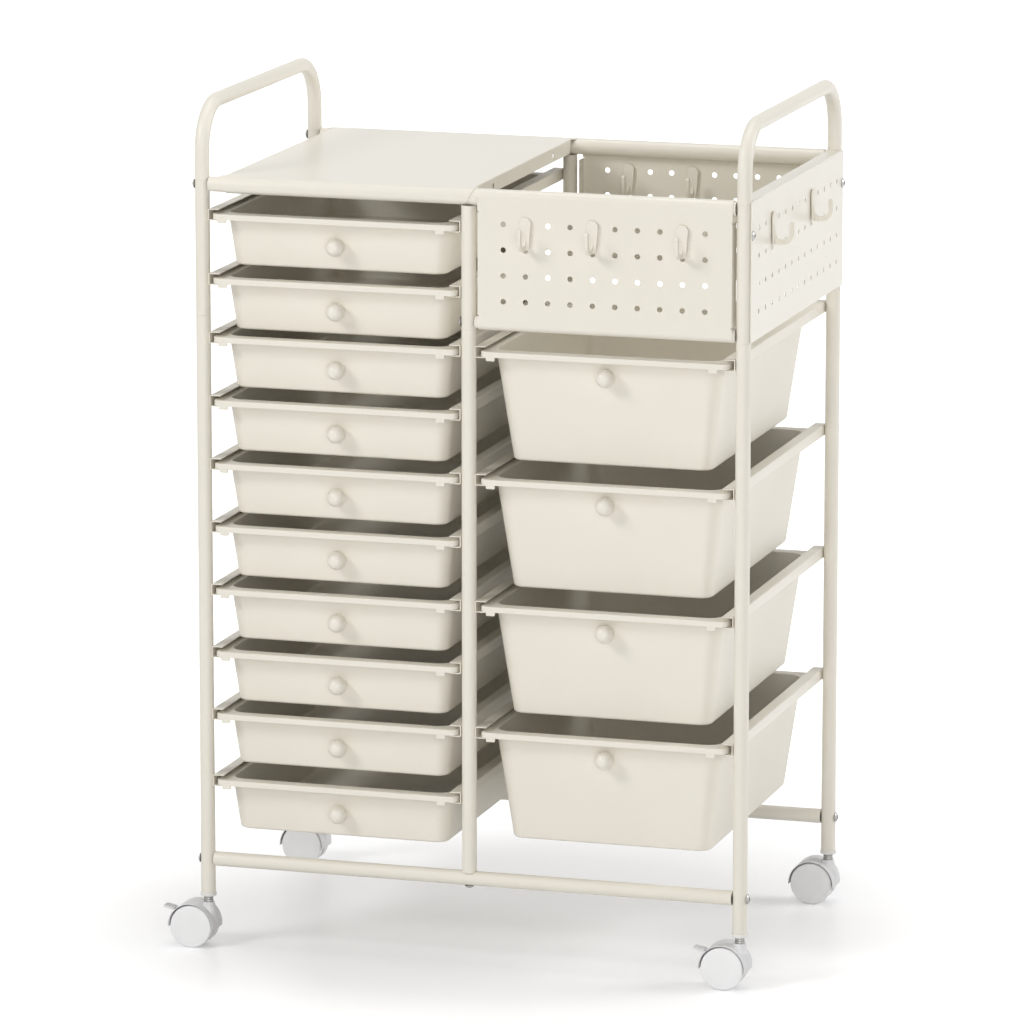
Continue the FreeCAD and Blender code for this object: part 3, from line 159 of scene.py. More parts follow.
# %% Shared effect: slow drift of the colour
def make_drift_group():
    group, entry, result = new_group(
        "colour drift",
        [("Light Colour", "NodeSocketColor", (1, 1, 1, 1)),
         ("Deep Colour", "NodeSocketColor", (0.9, 0.9, 0.9, 1)),
         ("Scale", "NodeSocketFloat", 6.0)],
        [("Color", "NodeSocketColor")])
    nodes = group.nodes
    place = nodes.new("ShaderNodeTexCoord")
    noise = set_sockets(nodes.new("ShaderNodeTexNoise"), Detail=3.0, Roughness=0.5)
    spread = set_sockets(nodes.new("ShaderNodeMapRange"), From_Min=0.3, From_Max=0.7)
    mix = nodes.new("ShaderNodeMix")
    mix.data_type = "RGBA"
    wire(group.links, (place, "Object", noise, "Vector"), (entry, "Scale", noise, "Scale"),
         (noise, "Fac", spread, "Value"), (spread, "Result", mix, "Factor"),
         (entry, "Light Colour", mix, "A"), (entry, "Deep Colour", mix, "B"),
         (mix, "Result", result, "Color"))
    return group


drift_group = make_drift_group()
print("made", drift_group.name)

# %% Shared effect: fine grain
def make_grain_group():
    group, entry, result = new_group(
        "fine grain",
        [("Scale", "NodeSocketFloat", 900.0),
         ("Smoothest", "NodeSocketFloat", 0.3),
         ("Roughest", "NodeSocketFloat", 0.4)],
        [("Roughness", "NodeSocketFloat"), ("Height", "NodeSocketFloat")])
    nodes = group.nodes
    place = nodes.new("ShaderNodeTexCoord")
    noise = set_sockets(nodes.new("ShaderNodeTexNoise"), Detail=2.0, Roughness=0.6)
    spread = set_sockets(nodes.new("ShaderNodeMapRange"), From_Min=0.25, From_Max=0.75)
    wire(group.links, (place, "Object", noise, "Vector"), (entry, "Scale", noise, "Scale"),
         (noise, "Fac", spread, "Value"), (entry, "Smoothest", spread, "To Min"),
         (entry, "Roughest", spread, "To Max"), (spread, "Result", result, "Roughness"),
         (noise, "Fac", result, "Height"))
    return group


grain_group = make_grain_group()
print("made", grain_group.name)

# %% [markdown]
# A finish is then one short call: two close colours for the drift, the grain's size and
# roughness, how deep the relief is, and whether the surface is metal. The plain numbers go
# straight into the shader's own sockets.

# %% Build a finish from the shared effects
def srgb(red, green, blue):
    """A colour given as 0 to 255, in the linear values that shaders use."""
    values = [channel / 255 for channel in (red, green, blue)]
    linear = [v / 12.92 if v <= 0.04045 else ((v + 0.055) / 1.055) ** 2.4 for v in values]
    return (*linear, 1)


def make_finish(name, light, deep, drift_scale, grain_scale, smoothest, roughest,
                relief, metallic=0.0, coat=0.0):
    material = bpy.data.materials.new(name)
    material.use_nodes = True
    nodes, links = material.node_tree.nodes, material.node_tree.links
    shader = nodes["Principled BSDF"]
    drift = nodes.new("ShaderNodeGroup")
    drift.node_tree = drift_group
    set_sockets(drift, Light_Colour=light, Deep_Colour=deep, Scale=drift_scale)
    grain = nodes.new("ShaderNodeGroup")
    grain.node_tree = grain_group
    set_sockets(grain, Scale=grain_scale, Smoothest=smoothest, Roughest=roughest)
    bump = set_sockets(nodes.new("ShaderNodeBump"), Strength=1.0, Distance=relief * MM)
    wire(links, (drift, "Color", shader, "Base Color"),
         (grain, "Roughness", shader, "Roughness"), (grain, "Height", bump, "Height"),
         (bump, "Normal", shader, "Normal"))
    set_sockets(shader, Metallic=metallic, Specular_IOR_Level=0.5, Coat_Weight=coat,
                Coat_Roughness=0.15)
    return material


enamel = make_finish("cream_powder_coat", srgb(237, 232, 220), srgb(234, 229, 216),
                     5.0, 420.0, 0.34, 0.42, 0.010)
sheet_enamel = make_finish("cream_sheet_enamel", srgb(237, 232, 220), srgb(234, 229, 216),
                           4.0, 420.0, 0.28, 0.36, 0.008, coat=0.1)
drawer_plastic = make_finish("cream_drawer_plastic", srgb(238, 233, 221), srgb(235, 230, 217),
                             7.0, 1500.0, 0.42, 0.52, 0.006)
knob_plastic = make_finish("cream_knob_plastic", srgb(239, 234, 222), srgb(236, 231, 219),
                           30.0, 1500.0, 0.25, 0.33, 0.003)
hook_plastic = make_finish("cream_hook_plastic", srgb(238, 233, 221), srgb(235, 230, 217),
                           30.0, 1500.0, 0.34, 0.42, 0.004)
cap_plastic = make_finish("white_cap_plastic", srgb(236, 234, 230), srgb(232, 230, 226),
                          30.0, 1500.0, 0.35, 0.45, 0.004)
hood_plastic = make_finish("grey_white_hood_plastic", srgb(229, 229, 230), srgb(225, 225, 226),
                           25.0, 1400.0, 0.36, 0.46, 0.005)
wheel_plastic = make_finish("grey_white_wheel_plastic", srgb(247, 247, 247), srgb(244, 244, 244),
                            25.0, 1400.0, 0.36, 0.44, 0.005)
zinc = make_finish("zinc_plated_steel", srgb(176, 175, 172), srgb(158, 157, 154),
                   120.0, 900.0, 0.28, 0.40, 0.004, metallic=1.0)
plain_steel = make_finish("plain_tube_steel", srgb(150, 149, 147), srgb(136, 135, 132),
                          60.0, 700.0, 0.35, 0.5, 0.006, metallic=1.0)
print("finishes:", len(bpy.data.materials))

# %% [markdown]
# The nodes that are still the CAD's own get their finish through their material slots.

# %% Finishes for the CAD nodes
FINISH_BY_SLOT = {
    "frame_enamel": enamel,
    "sheet_enamel": sheet_enamel,
    "drawer_plastic": drawer_plastic,
    "knob_plastic": knob_plastic,
    "hook_plastic": hook_plastic,
    "bolt_steel": zinc,
    "stem_steel": zinc,
    "sleeve_steel": plain_steel,
    "socket_plastic": cap_plastic,
    "caster_plastic": hood_plastic,
    "wheel_plastic": wheel_plastic,
}
for row in frame["record"]["subparts"]:
    node = frame["nodes"][row["node"]]
    node.data.materials.clear()
    node.data.materials.append(FINISH_BY_SLOT[row["material_slot"]])
print("painted", len(frame["nodes"]), "CAD nodes")

# %% [markdown]
# ## Making a form
# Every piece is made as a bmesh, in millimetres. Most of the cart's shapes are a row of rings
# skinned with quads: a tube, a turned bolt head and a moulded drawer differ only in their rings.
# Adding a ring close to each side of a rounded edge keeps the flat faces flat when they are
# shaded smooth, so a few rings at each edge are enough to look moulded or machined.

# %% Rings and the skin between them
def form_of(vertices, faces):
    form = bmesh.new()
    made = [form.verts.new(vertex) for vertex in vertices]
    for face in faces:
        form.faces.new([made[number] for number in face])
    return form


def skin(rings, closed=False):
    """Quads between rings of one length. The end rings get a cap each, or join when closed."""
    size, count = len(rings[0]), len(rings)
    faces = []
    for row in range(count if closed else count - 1):
        here, there = row * size, (row + 1) % count * size
        for step in range(size):
            after = (step + 1) % size
            faces.append((here + step, here + after, there + after, there + step))
    if not closed:
        faces.append(tuple(reversed(range(size))))
        faces.append(tuple(range((count - 1) * size, count * size)))
    return form_of([point for ring in rings for point in ring], faces)


def arc(centre, radius, start, end, steps=5):
    """Points (x, y) on an arc, its angles in degrees."""
    points = []
    for step in range(steps + 1):
        angle = math.radians(start + (end - start) * step / steps)
        points.append((centre[0] + radius * math.cos(angle), centre[1] + radius * math.sin(angle)))
    return points


def ring_about_z(radius, height, sides, bend_to=None):
    """One ring of points. bend_to(radius, angle) gives its reach where it isn't round."""
    ring = []
    for step in range(sides):
        angle = math.tau * step / sides
        reach = bend_to(radius, angle) if bend_to else radius
        ring.append((reach * math.cos(angle), reach * math.sin(angle), height))
    return ring


def turned(profile, sides=48, closed=False):
    """A form turned about Z from (radius, height) pairs."""
    return skin([ring_about_z(radius, height, sides) for radius, height in profile], closed)


def joined(*forms):
    """One form that holds the faces of all of them."""
    whole = bmesh.new()
    for form in forms:
        part = bpy.data.meshes.new("part")
        form.to_mesh(part)
        form.free()
        whole.from_mesh(part)
        bpy.data.meshes.remove(part)
    return whole


def moved(form, *steps):
    for step in steps:
        form.transform(step)
    return form


def shift(x, y, z):
    return Matrix.Translation((x, y, z))


def spin(degrees, axis):
    return Matrix.Rotation(math.radians(degrees), 4, axis)


print("helpers ready: skin, arc, turned, joined, moved")

# %% [markdown]
# A finished form becomes a mesh object in metres, in the cart's own frame. It is welded, its
# normals are turned outwards, and edges sharper than 35 degrees stay sharp. Prisms with plain
# edges also get a narrow bevel, because no real edge is a knife edge, and weighted normals, which
# keep the broad faces flat. The object then rides on a CAD body and stands for its CAD nodes.

# %% From a form to a piece of the cart
SHARP_ANGLE = math.radians(35)
WELD = 0.0005


def weld(form):
    bmesh.ops.remove_doubles(form, verts=form.verts, dist=WELD)
    bmesh.ops.recalc_face_normals(form, faces=form.faces)


def smooth_mesh(name, form, finish):
    """A form in millimetres as a mesh in metres, shaded smooth."""
    form.transform(Matrix.Scale(MM, 4))
    mesh = bpy.data.meshes.new(name)
    form.to_mesh(mesh)
    form.free()
    mesh.polygons.foreach_set("use_smooth", [True] * len(mesh.polygons))
    mesh.materials.append(finish)
    return mesh


def mesh_of(name, form, finish):
    weld(form)
    mesh = smooth_mesh(name, form, finish)
    mesh.set_sharp_from_angle(angle=SHARP_ANGLE)
    return mesh


def soften_edges(piece, width):
    bevel = piece.modifiers.new("narrow bevel", "BEVEL")
    bevel.width = width * MM
    bevel.segments = 2
    bevel.limit_method = "ANGLE"
    bevel.angle_limit = SHARP_ANGLE
    normals = piece.modifiers.new("flat faces", "WEIGHTED_NORMAL")
    normals.weight = 100
    normals.keep_sharp = True


def settled(piece):
    """The mesh of a piece with its modifiers worked in."""
    bpy.context.view_layer.update()
    return bpy.data.meshes.new_from_object(
        piece.evaluated_get(bpy.context.evaluated_depsgraph_get()))


def place_piece(name, mesh, body, stands_for=(), place=None):
    piece = add_object(name, mesh)
    if place is not None:
        piece.matrix_world = place
    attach(piece, body)
    if stands_for:
        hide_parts(*stands_for)
    return piece


def make_piece(name, form, finish, body, stands_for=(), edge=0.0):
    piece = place_piece(name, mesh_of(name, form, finish), body, stands_for)
    if edge:
        soften_edges(piece, edge)
    return piece


def master_mesh(name, form, finish, edge=0.0):
    """A mesh that several pieces share, with its bevel already worked in."""
    mesh = mesh_of(name, form, finish)
    if not edge:
        return mesh
    piece = add_object(name, mesh)
    soften_edges(piece, edge)
    whole = settled(piece)
    bpy.data.objects.remove(piece)
    bpy.data.meshes.remove(mesh)
    whole.name = name
    return whole


def metres(x, y, z):
    """A place in millimetres as a matrix in metres."""
    return Matrix.Translation(Vector((x, y, z)) * MM)


print("edges sharper than", round(math.degrees(SHARP_ANGLE)), "degrees stay sharp")

# %% [markdown]
# ## Tubes of the frame
# All posts are 16 mm tubes in two sections that meet at one height. The photograph shows that
# joint as a hairline on the right post only.
# The crossbars are cut square and pulled against the posts by a bolt, so a dark sliver of the
# bore shows beside each post. The middle posts stand in a shallow saddle on the bottom bars. So
# a tube here is a closed skin: outer wall, rounded end, bore, other end. Its two end heights are
# functions of the place on the ring, which gives square and saddled ends with one helper.

# %% One tube
TUBE_RADIUS = 8.0
TUBE_BORE = 6.8
SHORT_RADIUS = 6.75
SHORT_BORE = 5.75
SADDLE_RADIUS = 8.05
SADDLE_EDGE = 6.5
BUTT_GAP = 0.15
END_ROUNDING = 0.45
BRACE = 0.5


def tube(outer, bore, low, high, sides=56):
    """A tube along Z from low(x, y) to high(x, y)."""
    section = [(outer, high, -END_ROUNDING - BRACE)]
    for radius, height in arc((outer - END_ROUNDING, -END_ROUNDING), END_ROUNDING, 0, 90, 4):
        section.append((radius, high, height))
    section += [(bore, high, 0.0), (bore, low, 0.0)]
    for radius, height in arc((outer - END_ROUNDING, END_ROUNDING), END_ROUNDING, -90, 0, 4):
        section.append((radius, low, height))
    section.append((outer, low, END_ROUNDING + BRACE))
    rings = []
    for radius, end, offset in section:
        ring = []
        for step in range(sides):
            x = radius * math.cos(math.tau * step / sides)
            y = radius * math.sin(math.tau * step / sides)
            ring.append((x, y, end(x, y) + offset))
        rings.append(ring)
    return skin(rings, closed=True)


def flat_end(height):
    return lambda x, y: height


def upright_tube(x, y, low, high):
    low = low if callable(low) else flat_end(low)
    return moved(tube(TUBE_RADIUS, TUBE_BORE, low, flat_end(high)), shift(x, y, 0))


post_low, post_high = box_mm("left_posts")
bar_low, bar_high = box_mm("bottom_crossbars")
top_low, top_high = box_mm("top_crossbars")
short_low, short_high = box_mm("short_crossbars")
FOOT, POST_TOP = post_low.z, post_high.z
BOTTOM_BAR = (bar_low.z + bar_high.z) / 2
TOP_BAR = (top_low.z + top_high.z) / 2
SHORT_BAR = (short_low.z + short_high.z) / 2
SECTION_JOINT = 701.5
MIDDLE_TOP = middle_high.z
print(f"feet {FOOT:.1f}, bars {BOTTOM_BAR:.1f} and {TOP_BAR:.1f}, handles from {POST_TOP:.1f}")

# %% Posts
def post_pair(name, x, foot, top, node):
    sections = []
    for y in rows.values():
        sections.append(upright_tube(x, y, foot, SECTION_JOINT))
        sections.append(upright_tube(x, y, SECTION_JOINT, top))
    make_piece(name, joined(*sections), enamel, "frame", [node])


def middle_foot(x, y):
    return BOTTOM_BAR + max(SADDLE_EDGE, math.sqrt(SADDLE_RADIUS ** 2 - y ** 2))


post_pair("posts_left", left_x, FOOT, POST_TOP, "left_posts")
post_pair("posts_right", right_x, FOOT, POST_TOP, "right_posts")
post_pair("posts_middle", middle_x, middle_foot, MIDDLE_TOP, "middle_posts")
print("posts made:", 6)

# %% Crossbars
def crossbar(outer, bore, start, end, y, height):
    """A tube along X, cut square against the posts at x = start and x = end."""
    butt = TUBE_RADIUS + BUTT_GAP
    form = tube(outer, bore, flat_end(start + butt), flat_end(end - butt))
    return moved(form, spin(90, "Y"), shift(0, y, height))


def crossbars(name, outer, bore, start, height, node, gap=0.0):
    bars = []
    for y, side in row_sides:
        bars.append(crossbar(outer, bore, start, right_x, y + gap * side, height))
    make_piece(name, joined(*bars), enamel, "frame", [node])


SHORT_BAR_GAP = 1.25
crossbars("crossbars_top", TUBE_RADIUS, TUBE_BORE, left_x, TOP_BAR, "top_crossbars")
crossbars("crossbars_bottom", TUBE_RADIUS, TUBE_BORE, left_x, BOTTOM_BAR, "bottom_crossbars")
crossbars("crossbars_short", SHORT_RADIUS, SHORT_BORE, middle_x, SHORT_BAR, "short_crossbars",
          SHORT_BAR_GAP)
print("crossbars made:", 6)

# %% [markdown]
# ## Handles
# Each handle is one tube bent to an upturned U. A tube bender gives true arcs and straight runs,
# so the rings are set along exactly such a line, square to it, out along the outer wall and back
# along the bore.

# %% Handles
HANDLE_BEND = 50.0
BEND_STEPS = 14
handle_high = box_mm("handle_left")[1]
HANDLE_TOP = handle_high.z - TUBE_RADIUS


def handle_line():
    """Places (y, z) and directions in degrees along the middle of the tube."""
    shoulder = HANDLE_TOP - HANDLE_BEND
    line = [((front_y, shoulder - BRACE), 90.0)]
    for centre_y, start in ((front_y + HANDLE_BEND, 180), (back_y - HANDLE_BEND, 90)):
        turn = arc((centre_y, shoulder), HANDLE_BEND, start, start - 90, BEND_STEPS)
        for number, place in enumerate(turn):
            line.append((place, start - 90 - 90 * number / BEND_STEPS))
        if start == 180:
            line.append(((front_y + HANDLE_BEND + BRACE, HANDLE_TOP), 0.0))
            line.append(((back_y - HANDLE_BEND - BRACE, HANDLE_TOP), 0.0))
    line.append(((back_y, shoulder - BRACE), -90.0))
    return line


def handle_form(x, sides=48):
    line = handle_line()
    rounding = arc((TUBE_RADIUS - END_ROUNDING, END_ROUNDING), END_ROUNDING, -90, 0, 4)
    rounding.append((TUBE_RADIUS, END_ROUNDING + BRACE))
    walk = [((front_y, POST_TOP + rise), 90.0, radius) for radius, rise in rounding]
    walk += [(place, heading, TUBE_RADIUS) for place, heading in line]
    walk += [((back_y, POST_TOP + rise), -90.0, radius) for radius, rise in reversed(rounding)]
    walk.append(((back_y, POST_TOP), -90.0, TUBE_BORE))
    walk += [(place, heading, TUBE_BORE) for place, heading in reversed(line)]
    walk.append(((front_y, POST_TOP), 90.0, TUBE_BORE))
    rings = []
    for (y, z), heading, radius in walk:
        side = math.radians(heading + 90)
        ring = []
        for step in range(sides):
            angle = math.tau * step / sides
            across = radius * math.sin(angle)
            ring.append((x + radius * math.cos(angle), y + across * math.cos(side),
                         z + across * math.sin(side)))
        rings.append(ring)
    return skin(rings, closed=True)


for word, x in (("left", left_x), ("right", right_x)):
    make_piece(f"handle_tube_{word}", handle_form(x), enamel, "frame",
               [f"handle_{word}"])
print(f"handles reach {handle_high.z:.1f}")

# %% [markdown]
# ## Sheet-metal runners
# A runner is a strip of sheet folded to a channel that opens towards the drawer, whose lip slides
# in it. Its folds are round. A rounded outline is pushed along Y, and a narrow bevel softens
# the cut ends.

# %% Outlines with rounded corners
def rounded(corners, steps=4):
    """Points round an outline whose corners are (x, y, radius)."""
    points = []
    for number, (x, y, radius) in enumerate(corners):
        here = Vector((x, y))
        if radius == 0:
            points.append((x, y))
            continue
        back = (Vector(corners[number - 1][:2]) - here).normalized()
        ahead = (Vector(corners[(number + 1) % len(corners)][:2]) - here).normalized()
        half = back.angle(ahead) / 2
        centre = here + (back + ahead).normalized() * (radius / math.sin(half))
        first = here + back * (radius / math.tan(half)) - centre
        last = here + ahead * (radius / math.tan(half)) - centre
        start = math.degrees(math.atan2(first.y, first.x))
        sweep = math.degrees(math.atan2(last.y, last.x)) - start
        sweep = (sweep + 180) % 360 - 180
        points += arc(centre, radius, start, start + sweep, steps)
    return points


def prism(outline, low, high):
    """An outline in X and Y pushed from z = low to z = high."""
    return skin([[(x, y, height) for x, y in outline] for height in (low, high)])


def prism_along_y(outline, low, high):
    """An outline in X and Z pushed from y = low to y = high."""
    return skin([[(x, y, z) for x, z in outline] for y in (low, high)])


RUNNER_WIDTH, RUNNER_HEIGHT, SHEET = 12.5, 12.6, 1.0
FOLD = 1.5
runner_outline = rounded([
    (0, 0, FOLD), (RUNNER_WIDTH, 0, 0), (RUNNER_WIDTH, SHEET, 0), (SHEET, SHEET, FOLD - SHEET),
    (SHEET, RUNNER_HEIGHT - SHEET, FOLD - SHEET), (RUNNER_WIDTH, RUNNER_HEIGHT - SHEET, 0),
    (RUNNER_WIDTH, RUNNER_HEIGHT, 0), (0, RUNNER_HEIGHT, FOLD)])
print("runner outline:", len(runner_outline), "points")

# %% Runners in every row
LIP_HEIGHT, SEAT_PLAY = 6.3, 0.3
shallow_names = [f"shallow_drawer_{number:02d}" for number in range(1, 11)]
deep_names = [f"deep_drawer_{number:02d}" for number in range(1, 5)]
shallow_rims = [box_mm(name)[1].z for name in shallow_names]
deep_rims = [box_mm(name)[1].z for name in deep_names]
runner_front = box_mm("left_runners")[0].y
runner_back = box_mm("left_runners")[1].y


def runner(post_face, side, rim):
    """side is 1 when the channel opens towards +X."""
    bottom = rim - LIP_HEIGHT - SEAT_PLAY - SHEET
    form = prism_along_y([(x, z + bottom) for x, z in runner_outline], runner_front, runner_back)
    return moved(form, Matrix.Diagonal((side, 1, 1, 1)), shift(post_face, 0, 0))


def make_runners(name, columns, node):
    strips = [runner(face, side, rim) for face, side, rims in columns for rim in rims]
    make_piece(name, joined(*strips), enamel, "frame", [node], edge=0.2)
    return len(strips)


made = make_runners("runners_left", [(left_x + TUBE_RADIUS, 1, shallow_rims)], "left_runners")
made += make_runners("runners_middle", [(middle_x - TUBE_RADIUS, -1, shallow_rims),
                                        (middle_x + TUBE_RADIUS, 1, deep_rims)], "middle_runners")
made += make_runners("runners_right", [(right_x - TUBE_RADIUS, -1, deep_rims)], "right_runners")
print("runners made:", made)

# %% [markdown]
# ## Drawers
# A drawer is injection moulded: thin walls that taper so it leaves its mould, a rounded floor, a
# flat rim and a lip turned down round it, with two small stops under the front. It is skinned
# from rounded rectangles that run from the middle of the floor up the inside, over the rim, round
# the lip and down the outside. Each is set by how far it lies inside the rim's outer edge, so the
# arcs below give insets and heights.

# %% One rounded rectangle of a drawer
RIM_HALF, RIM_FRONT, RIM_BACK = 137.5, 197.5, 187.0
SIDE_INSET, END_INSET, WALL = 10.5, 13.0, 2.2
DRAFT = 7.6
CORNER_STEPS = 8
slope = math.tan(math.radians(DRAFT))
lean = math.cos(math.radians(DRAFT))


def drawer_ring(side, end, height, radius):
    half, front, back = RIM_HALF - side, -RIM_FRONT + end, RIM_BACK - end
    outline = rounded([(-half, front, radius), (half, front, radius),
                       (half, back, radius), (-half, back, radius)], CORNER_STEPS)
    return [(x, y, height) for x, y in outline]


print("draft widens a drawer by", round(2 * slope * 100, 1), "mm in every 100")

# %% The skin of a drawer
FLOOR_ROUND = 3.0
RIM_ROUND_IN, RIM_ROUND_OUT, LIP_ROUND = 0.9, 1.1, 0.5
RIM_THICK, LIP_THICK = 2.2, 2.4
END_EXTRA = END_INSET - SIDE_INSET
UNDER_ROUND = 0.8
INNER_CORNER, OUTER_CORNER, LIP_CORNER = 15.8, 18.0, 9.0
CORNER_LOSS = 4.0
FLOOR_STEP = 30


def drawer_rings(depth):
    inside = depth - WALL
    rings = []

    def wall_ring(inset, height, line, radius):
        """line is the wall's inset at this height, so that corners follow the wall."""
        rings.append(drawer_ring(inset, inset + END_EXTRA, height, max(radius + line - inset, 1)))

    def wall_inset(base, below):
        return base + slope * below

    inner_base, outer_base = SIDE_INSET + WALL, SIDE_INSET
    taper = CORNER_LOSS / inside
    centre = wall_inset(inner_base, inside - FLOOR_ROUND) + FLOOR_ROUND / lean
    for extra in (FLOOR_STEP, BRACE):
        wall_ring(centre + extra, -inside, centre, INNER_CORNER - CORNER_LOSS)
    for inset, height in arc((centre, FLOOR_ROUND - inside), FLOOR_ROUND, 270, 180 + DRAFT):
        wall_ring(inset, height, wall_inset(inner_base, -height), INNER_CORNER + taper * height)
    for below in (inside - FLOOR_ROUND - BRACE, RIM_ROUND_IN + BRACE):
        wall_ring(wall_inset(inner_base, below), -below, wall_inset(inner_base, below),
                  INNER_CORNER - taper * below)
    edge = wall_inset(inner_base, RIM_ROUND_IN) - RIM_ROUND_IN / lean
    for inset, height in arc((edge, -RIM_ROUND_IN), RIM_ROUND_IN, DRAFT, 90, 4):
        wall_ring(inset, height, inner_base, INNER_CORNER)
    wall_ring(edge - BRACE, 0, inner_base, INNER_CORNER)

    def lip_ring(inset, height):
        rings.append(drawer_ring(inset, inset, height, max(LIP_CORNER - inset, 1)))

    lip_ring(RIM_ROUND_OUT + BRACE, 0)
    lip = arc((RIM_ROUND_OUT, -RIM_ROUND_OUT), RIM_ROUND_OUT, 90, 180, 4)
    lip += [(0, -RIM_ROUND_OUT - BRACE), (0, LIP_ROUND + BRACE - LIP_HEIGHT)]
    lip += arc((LIP_ROUND, LIP_ROUND - LIP_HEIGHT), LIP_ROUND, 180, 270, 3)
    lip += arc((LIP_THICK - LIP_ROUND, LIP_ROUND - LIP_HEIGHT), LIP_ROUND, 270, 360, 3)
    lip += [(LIP_THICK, LIP_ROUND + BRACE - LIP_HEIGHT)]
    lip += arc((LIP_THICK + LIP_ROUND, -RIM_THICK - LIP_ROUND), LIP_ROUND, 180, 90, 3)
    lip += [(LIP_THICK + LIP_ROUND + BRACE, -RIM_THICK)]
    for inset, height in lip:
        lip_ring(inset, height)

    below = RIM_THICK + UNDER_ROUND
    edge = wall_inset(outer_base, below) - UNDER_ROUND / lean
    wall_ring(edge - BRACE, -RIM_THICK, outer_base, OUTER_CORNER)
    for inset, height in arc((edge, -below), UNDER_ROUND, 90, DRAFT, 4):
        wall_ring(inset, height, outer_base, OUTER_CORNER)
    centre = wall_inset(outer_base, depth - FLOOR_ROUND) + FLOOR_ROUND / lean
    for down in (below + BRACE, depth - FLOOR_ROUND - BRACE):
        wall_ring(wall_inset(outer_base, down), -down, wall_inset(outer_base, down),
                  OUTER_CORNER - taper * down)
    for inset, height in arc((centre, FLOOR_ROUND - depth), FLOOR_ROUND, 180 + DRAFT, 270):
        wall_ring(inset, height, wall_inset(outer_base, -height), OUTER_CORNER + taper * height)
    for extra in (BRACE, FLOOR_STEP):
        wall_ring(centre + extra, -depth, centre, OUTER_CORNER - CORNER_LOSS)
    return rings


SHALLOW_DEPTH, DEEP_DEPTH = 57.4, 121.5
print("rings in a drawer:", len(drawer_rings(DEEP_DEPTH)))

# %% Stops under the rim, and the two drawer meshes
TAB_WIDTH, TAB_DROP = 9.5, 3.7
TAB_LEFT, TAB_RIGHT = 7.5, 13.0
TAB_SINK = 2.0
TAB_FLUSH = 0.06


def stop_tab(start):
    outline = rounded([(start, -LIP_HEIGHT - TAB_DROP, 0.8),
                       (start + TAB_WIDTH, -LIP_HEIGHT - TAB_DROP, 0.8),
                       (start + TAB_WIDTH, TAB_SINK - LIP_HEIGHT, 0),
                       (start, TAB_SINK - LIP_HEIGHT, 0)])
    return prism_along_y(outline, TAB_FLUSH - RIM_FRONT, LIP_THICK - TAB_FLUSH - RIM_FRONT)


def drawer_master(name, depth):
    tabs = [stop_tab(TAB_LEFT - RIM_HALF), stop_tab(RIM_HALF - TAB_RIGHT - TAB_WIDTH)]
    return mesh_of(name, joined(skin(drawer_rings(depth)), *tabs), drawer_plastic)


shallow_mesh = drawer_master("shallow_drawer_shell", SHALLOW_DEPTH)
deep_mesh = drawer_master("deep_drawer_shell", DEEP_DEPTH)
for names, mesh in ((shallow_names, shallow_mesh), (deep_names, deep_mesh)):
    for name in names:
        low, high = box_mm(name)
        place_piece(f"{name}_shell", mesh, name, [name],
                    metres((low.x + high.x) / 2, mid_y, high.z))
print("drawers made:", len(shallow_names) + len(deep_names))

# %% [markdown]
# ## Knobs
# A knob is a turned ball on a short neck, held by a screw from inside. The wall that it sits on
# leans by the draft angle, so knob and screw lean with it. The screw's cross recess is cut by
# bending the rings inside its head to a cross, which is quicker and cleaner than a Boolean.

# %% Knob and screw
KNOB_RADIUS, KNOB_LENGTH, NECK_RADIUS, NECK_LENGTH = 9.8, 19.0, 4.5, 2.6
NECK_ROUND = 1.1
SHALLOW_DROP, DEEP_DROP = 30.0, 22.3
SCREW_SIDES, SCREW_RISE = 48, 2.0
CROSS_REACH, CROSS_HALF, CROSS_DEPTH = 1.9, 0.45, 1.2


def knob_form():
    middle = KNOB_LENGTH - KNOB_RADIUS
    start = math.degrees(math.asin((NECK_LENGTH + 0.6 - middle) / KNOB_RADIUS))
    profile = [(2.0, 0), (NECK_RADIUS + 0.8, 0), (NECK_RADIUS + 0.5, 0.35), (NECK_RADIUS, 0.8),
               (NECK_RADIUS, NECK_LENGTH - NECK_ROUND)]
    profile += arc((NECK_RADIUS + NECK_ROUND, NECK_LENGTH - NECK_ROUND), NECK_ROUND, 180, 90, 4)
    profile.append((6.6, NECK_LENGTH))
    profile.append((7.2, NECK_LENGTH + 0.2))
    profile += arc((0, middle), KNOB_RADIUS, start, 90, 18)
    return turned(profile, 48)


def cross(radius, angle):
    """The reach of a cross recess, never more than the ring's own radius."""
    along, across = max(abs(math.cos(angle)), 0.01), max(abs(math.sin(angle)), 0.01)
    arms = [min(CROSS_REACH / along, CROSS_HALF / across),
            min(CROSS_REACH / across, CROSS_HALF / along)]
    return min(radius, max(arms))


def screw_form():
    """A pan head, its face towards +Z. The recess is turned back into it."""
    head = [(3.8, 0)] + arc((2.4, 0.6), 1.4, 0, 90, 6) + [(2.3, SCREW_RISE)]
    rings = [ring_about_z(radius, height, SCREW_SIDES) for radius, height in head]
    rings += [ring_about_z(2.2, SCREW_RISE - depth, SCREW_SIDES, cross)
              for depth in (0.0, CROSS_DEPTH)]
    return skin(rings)


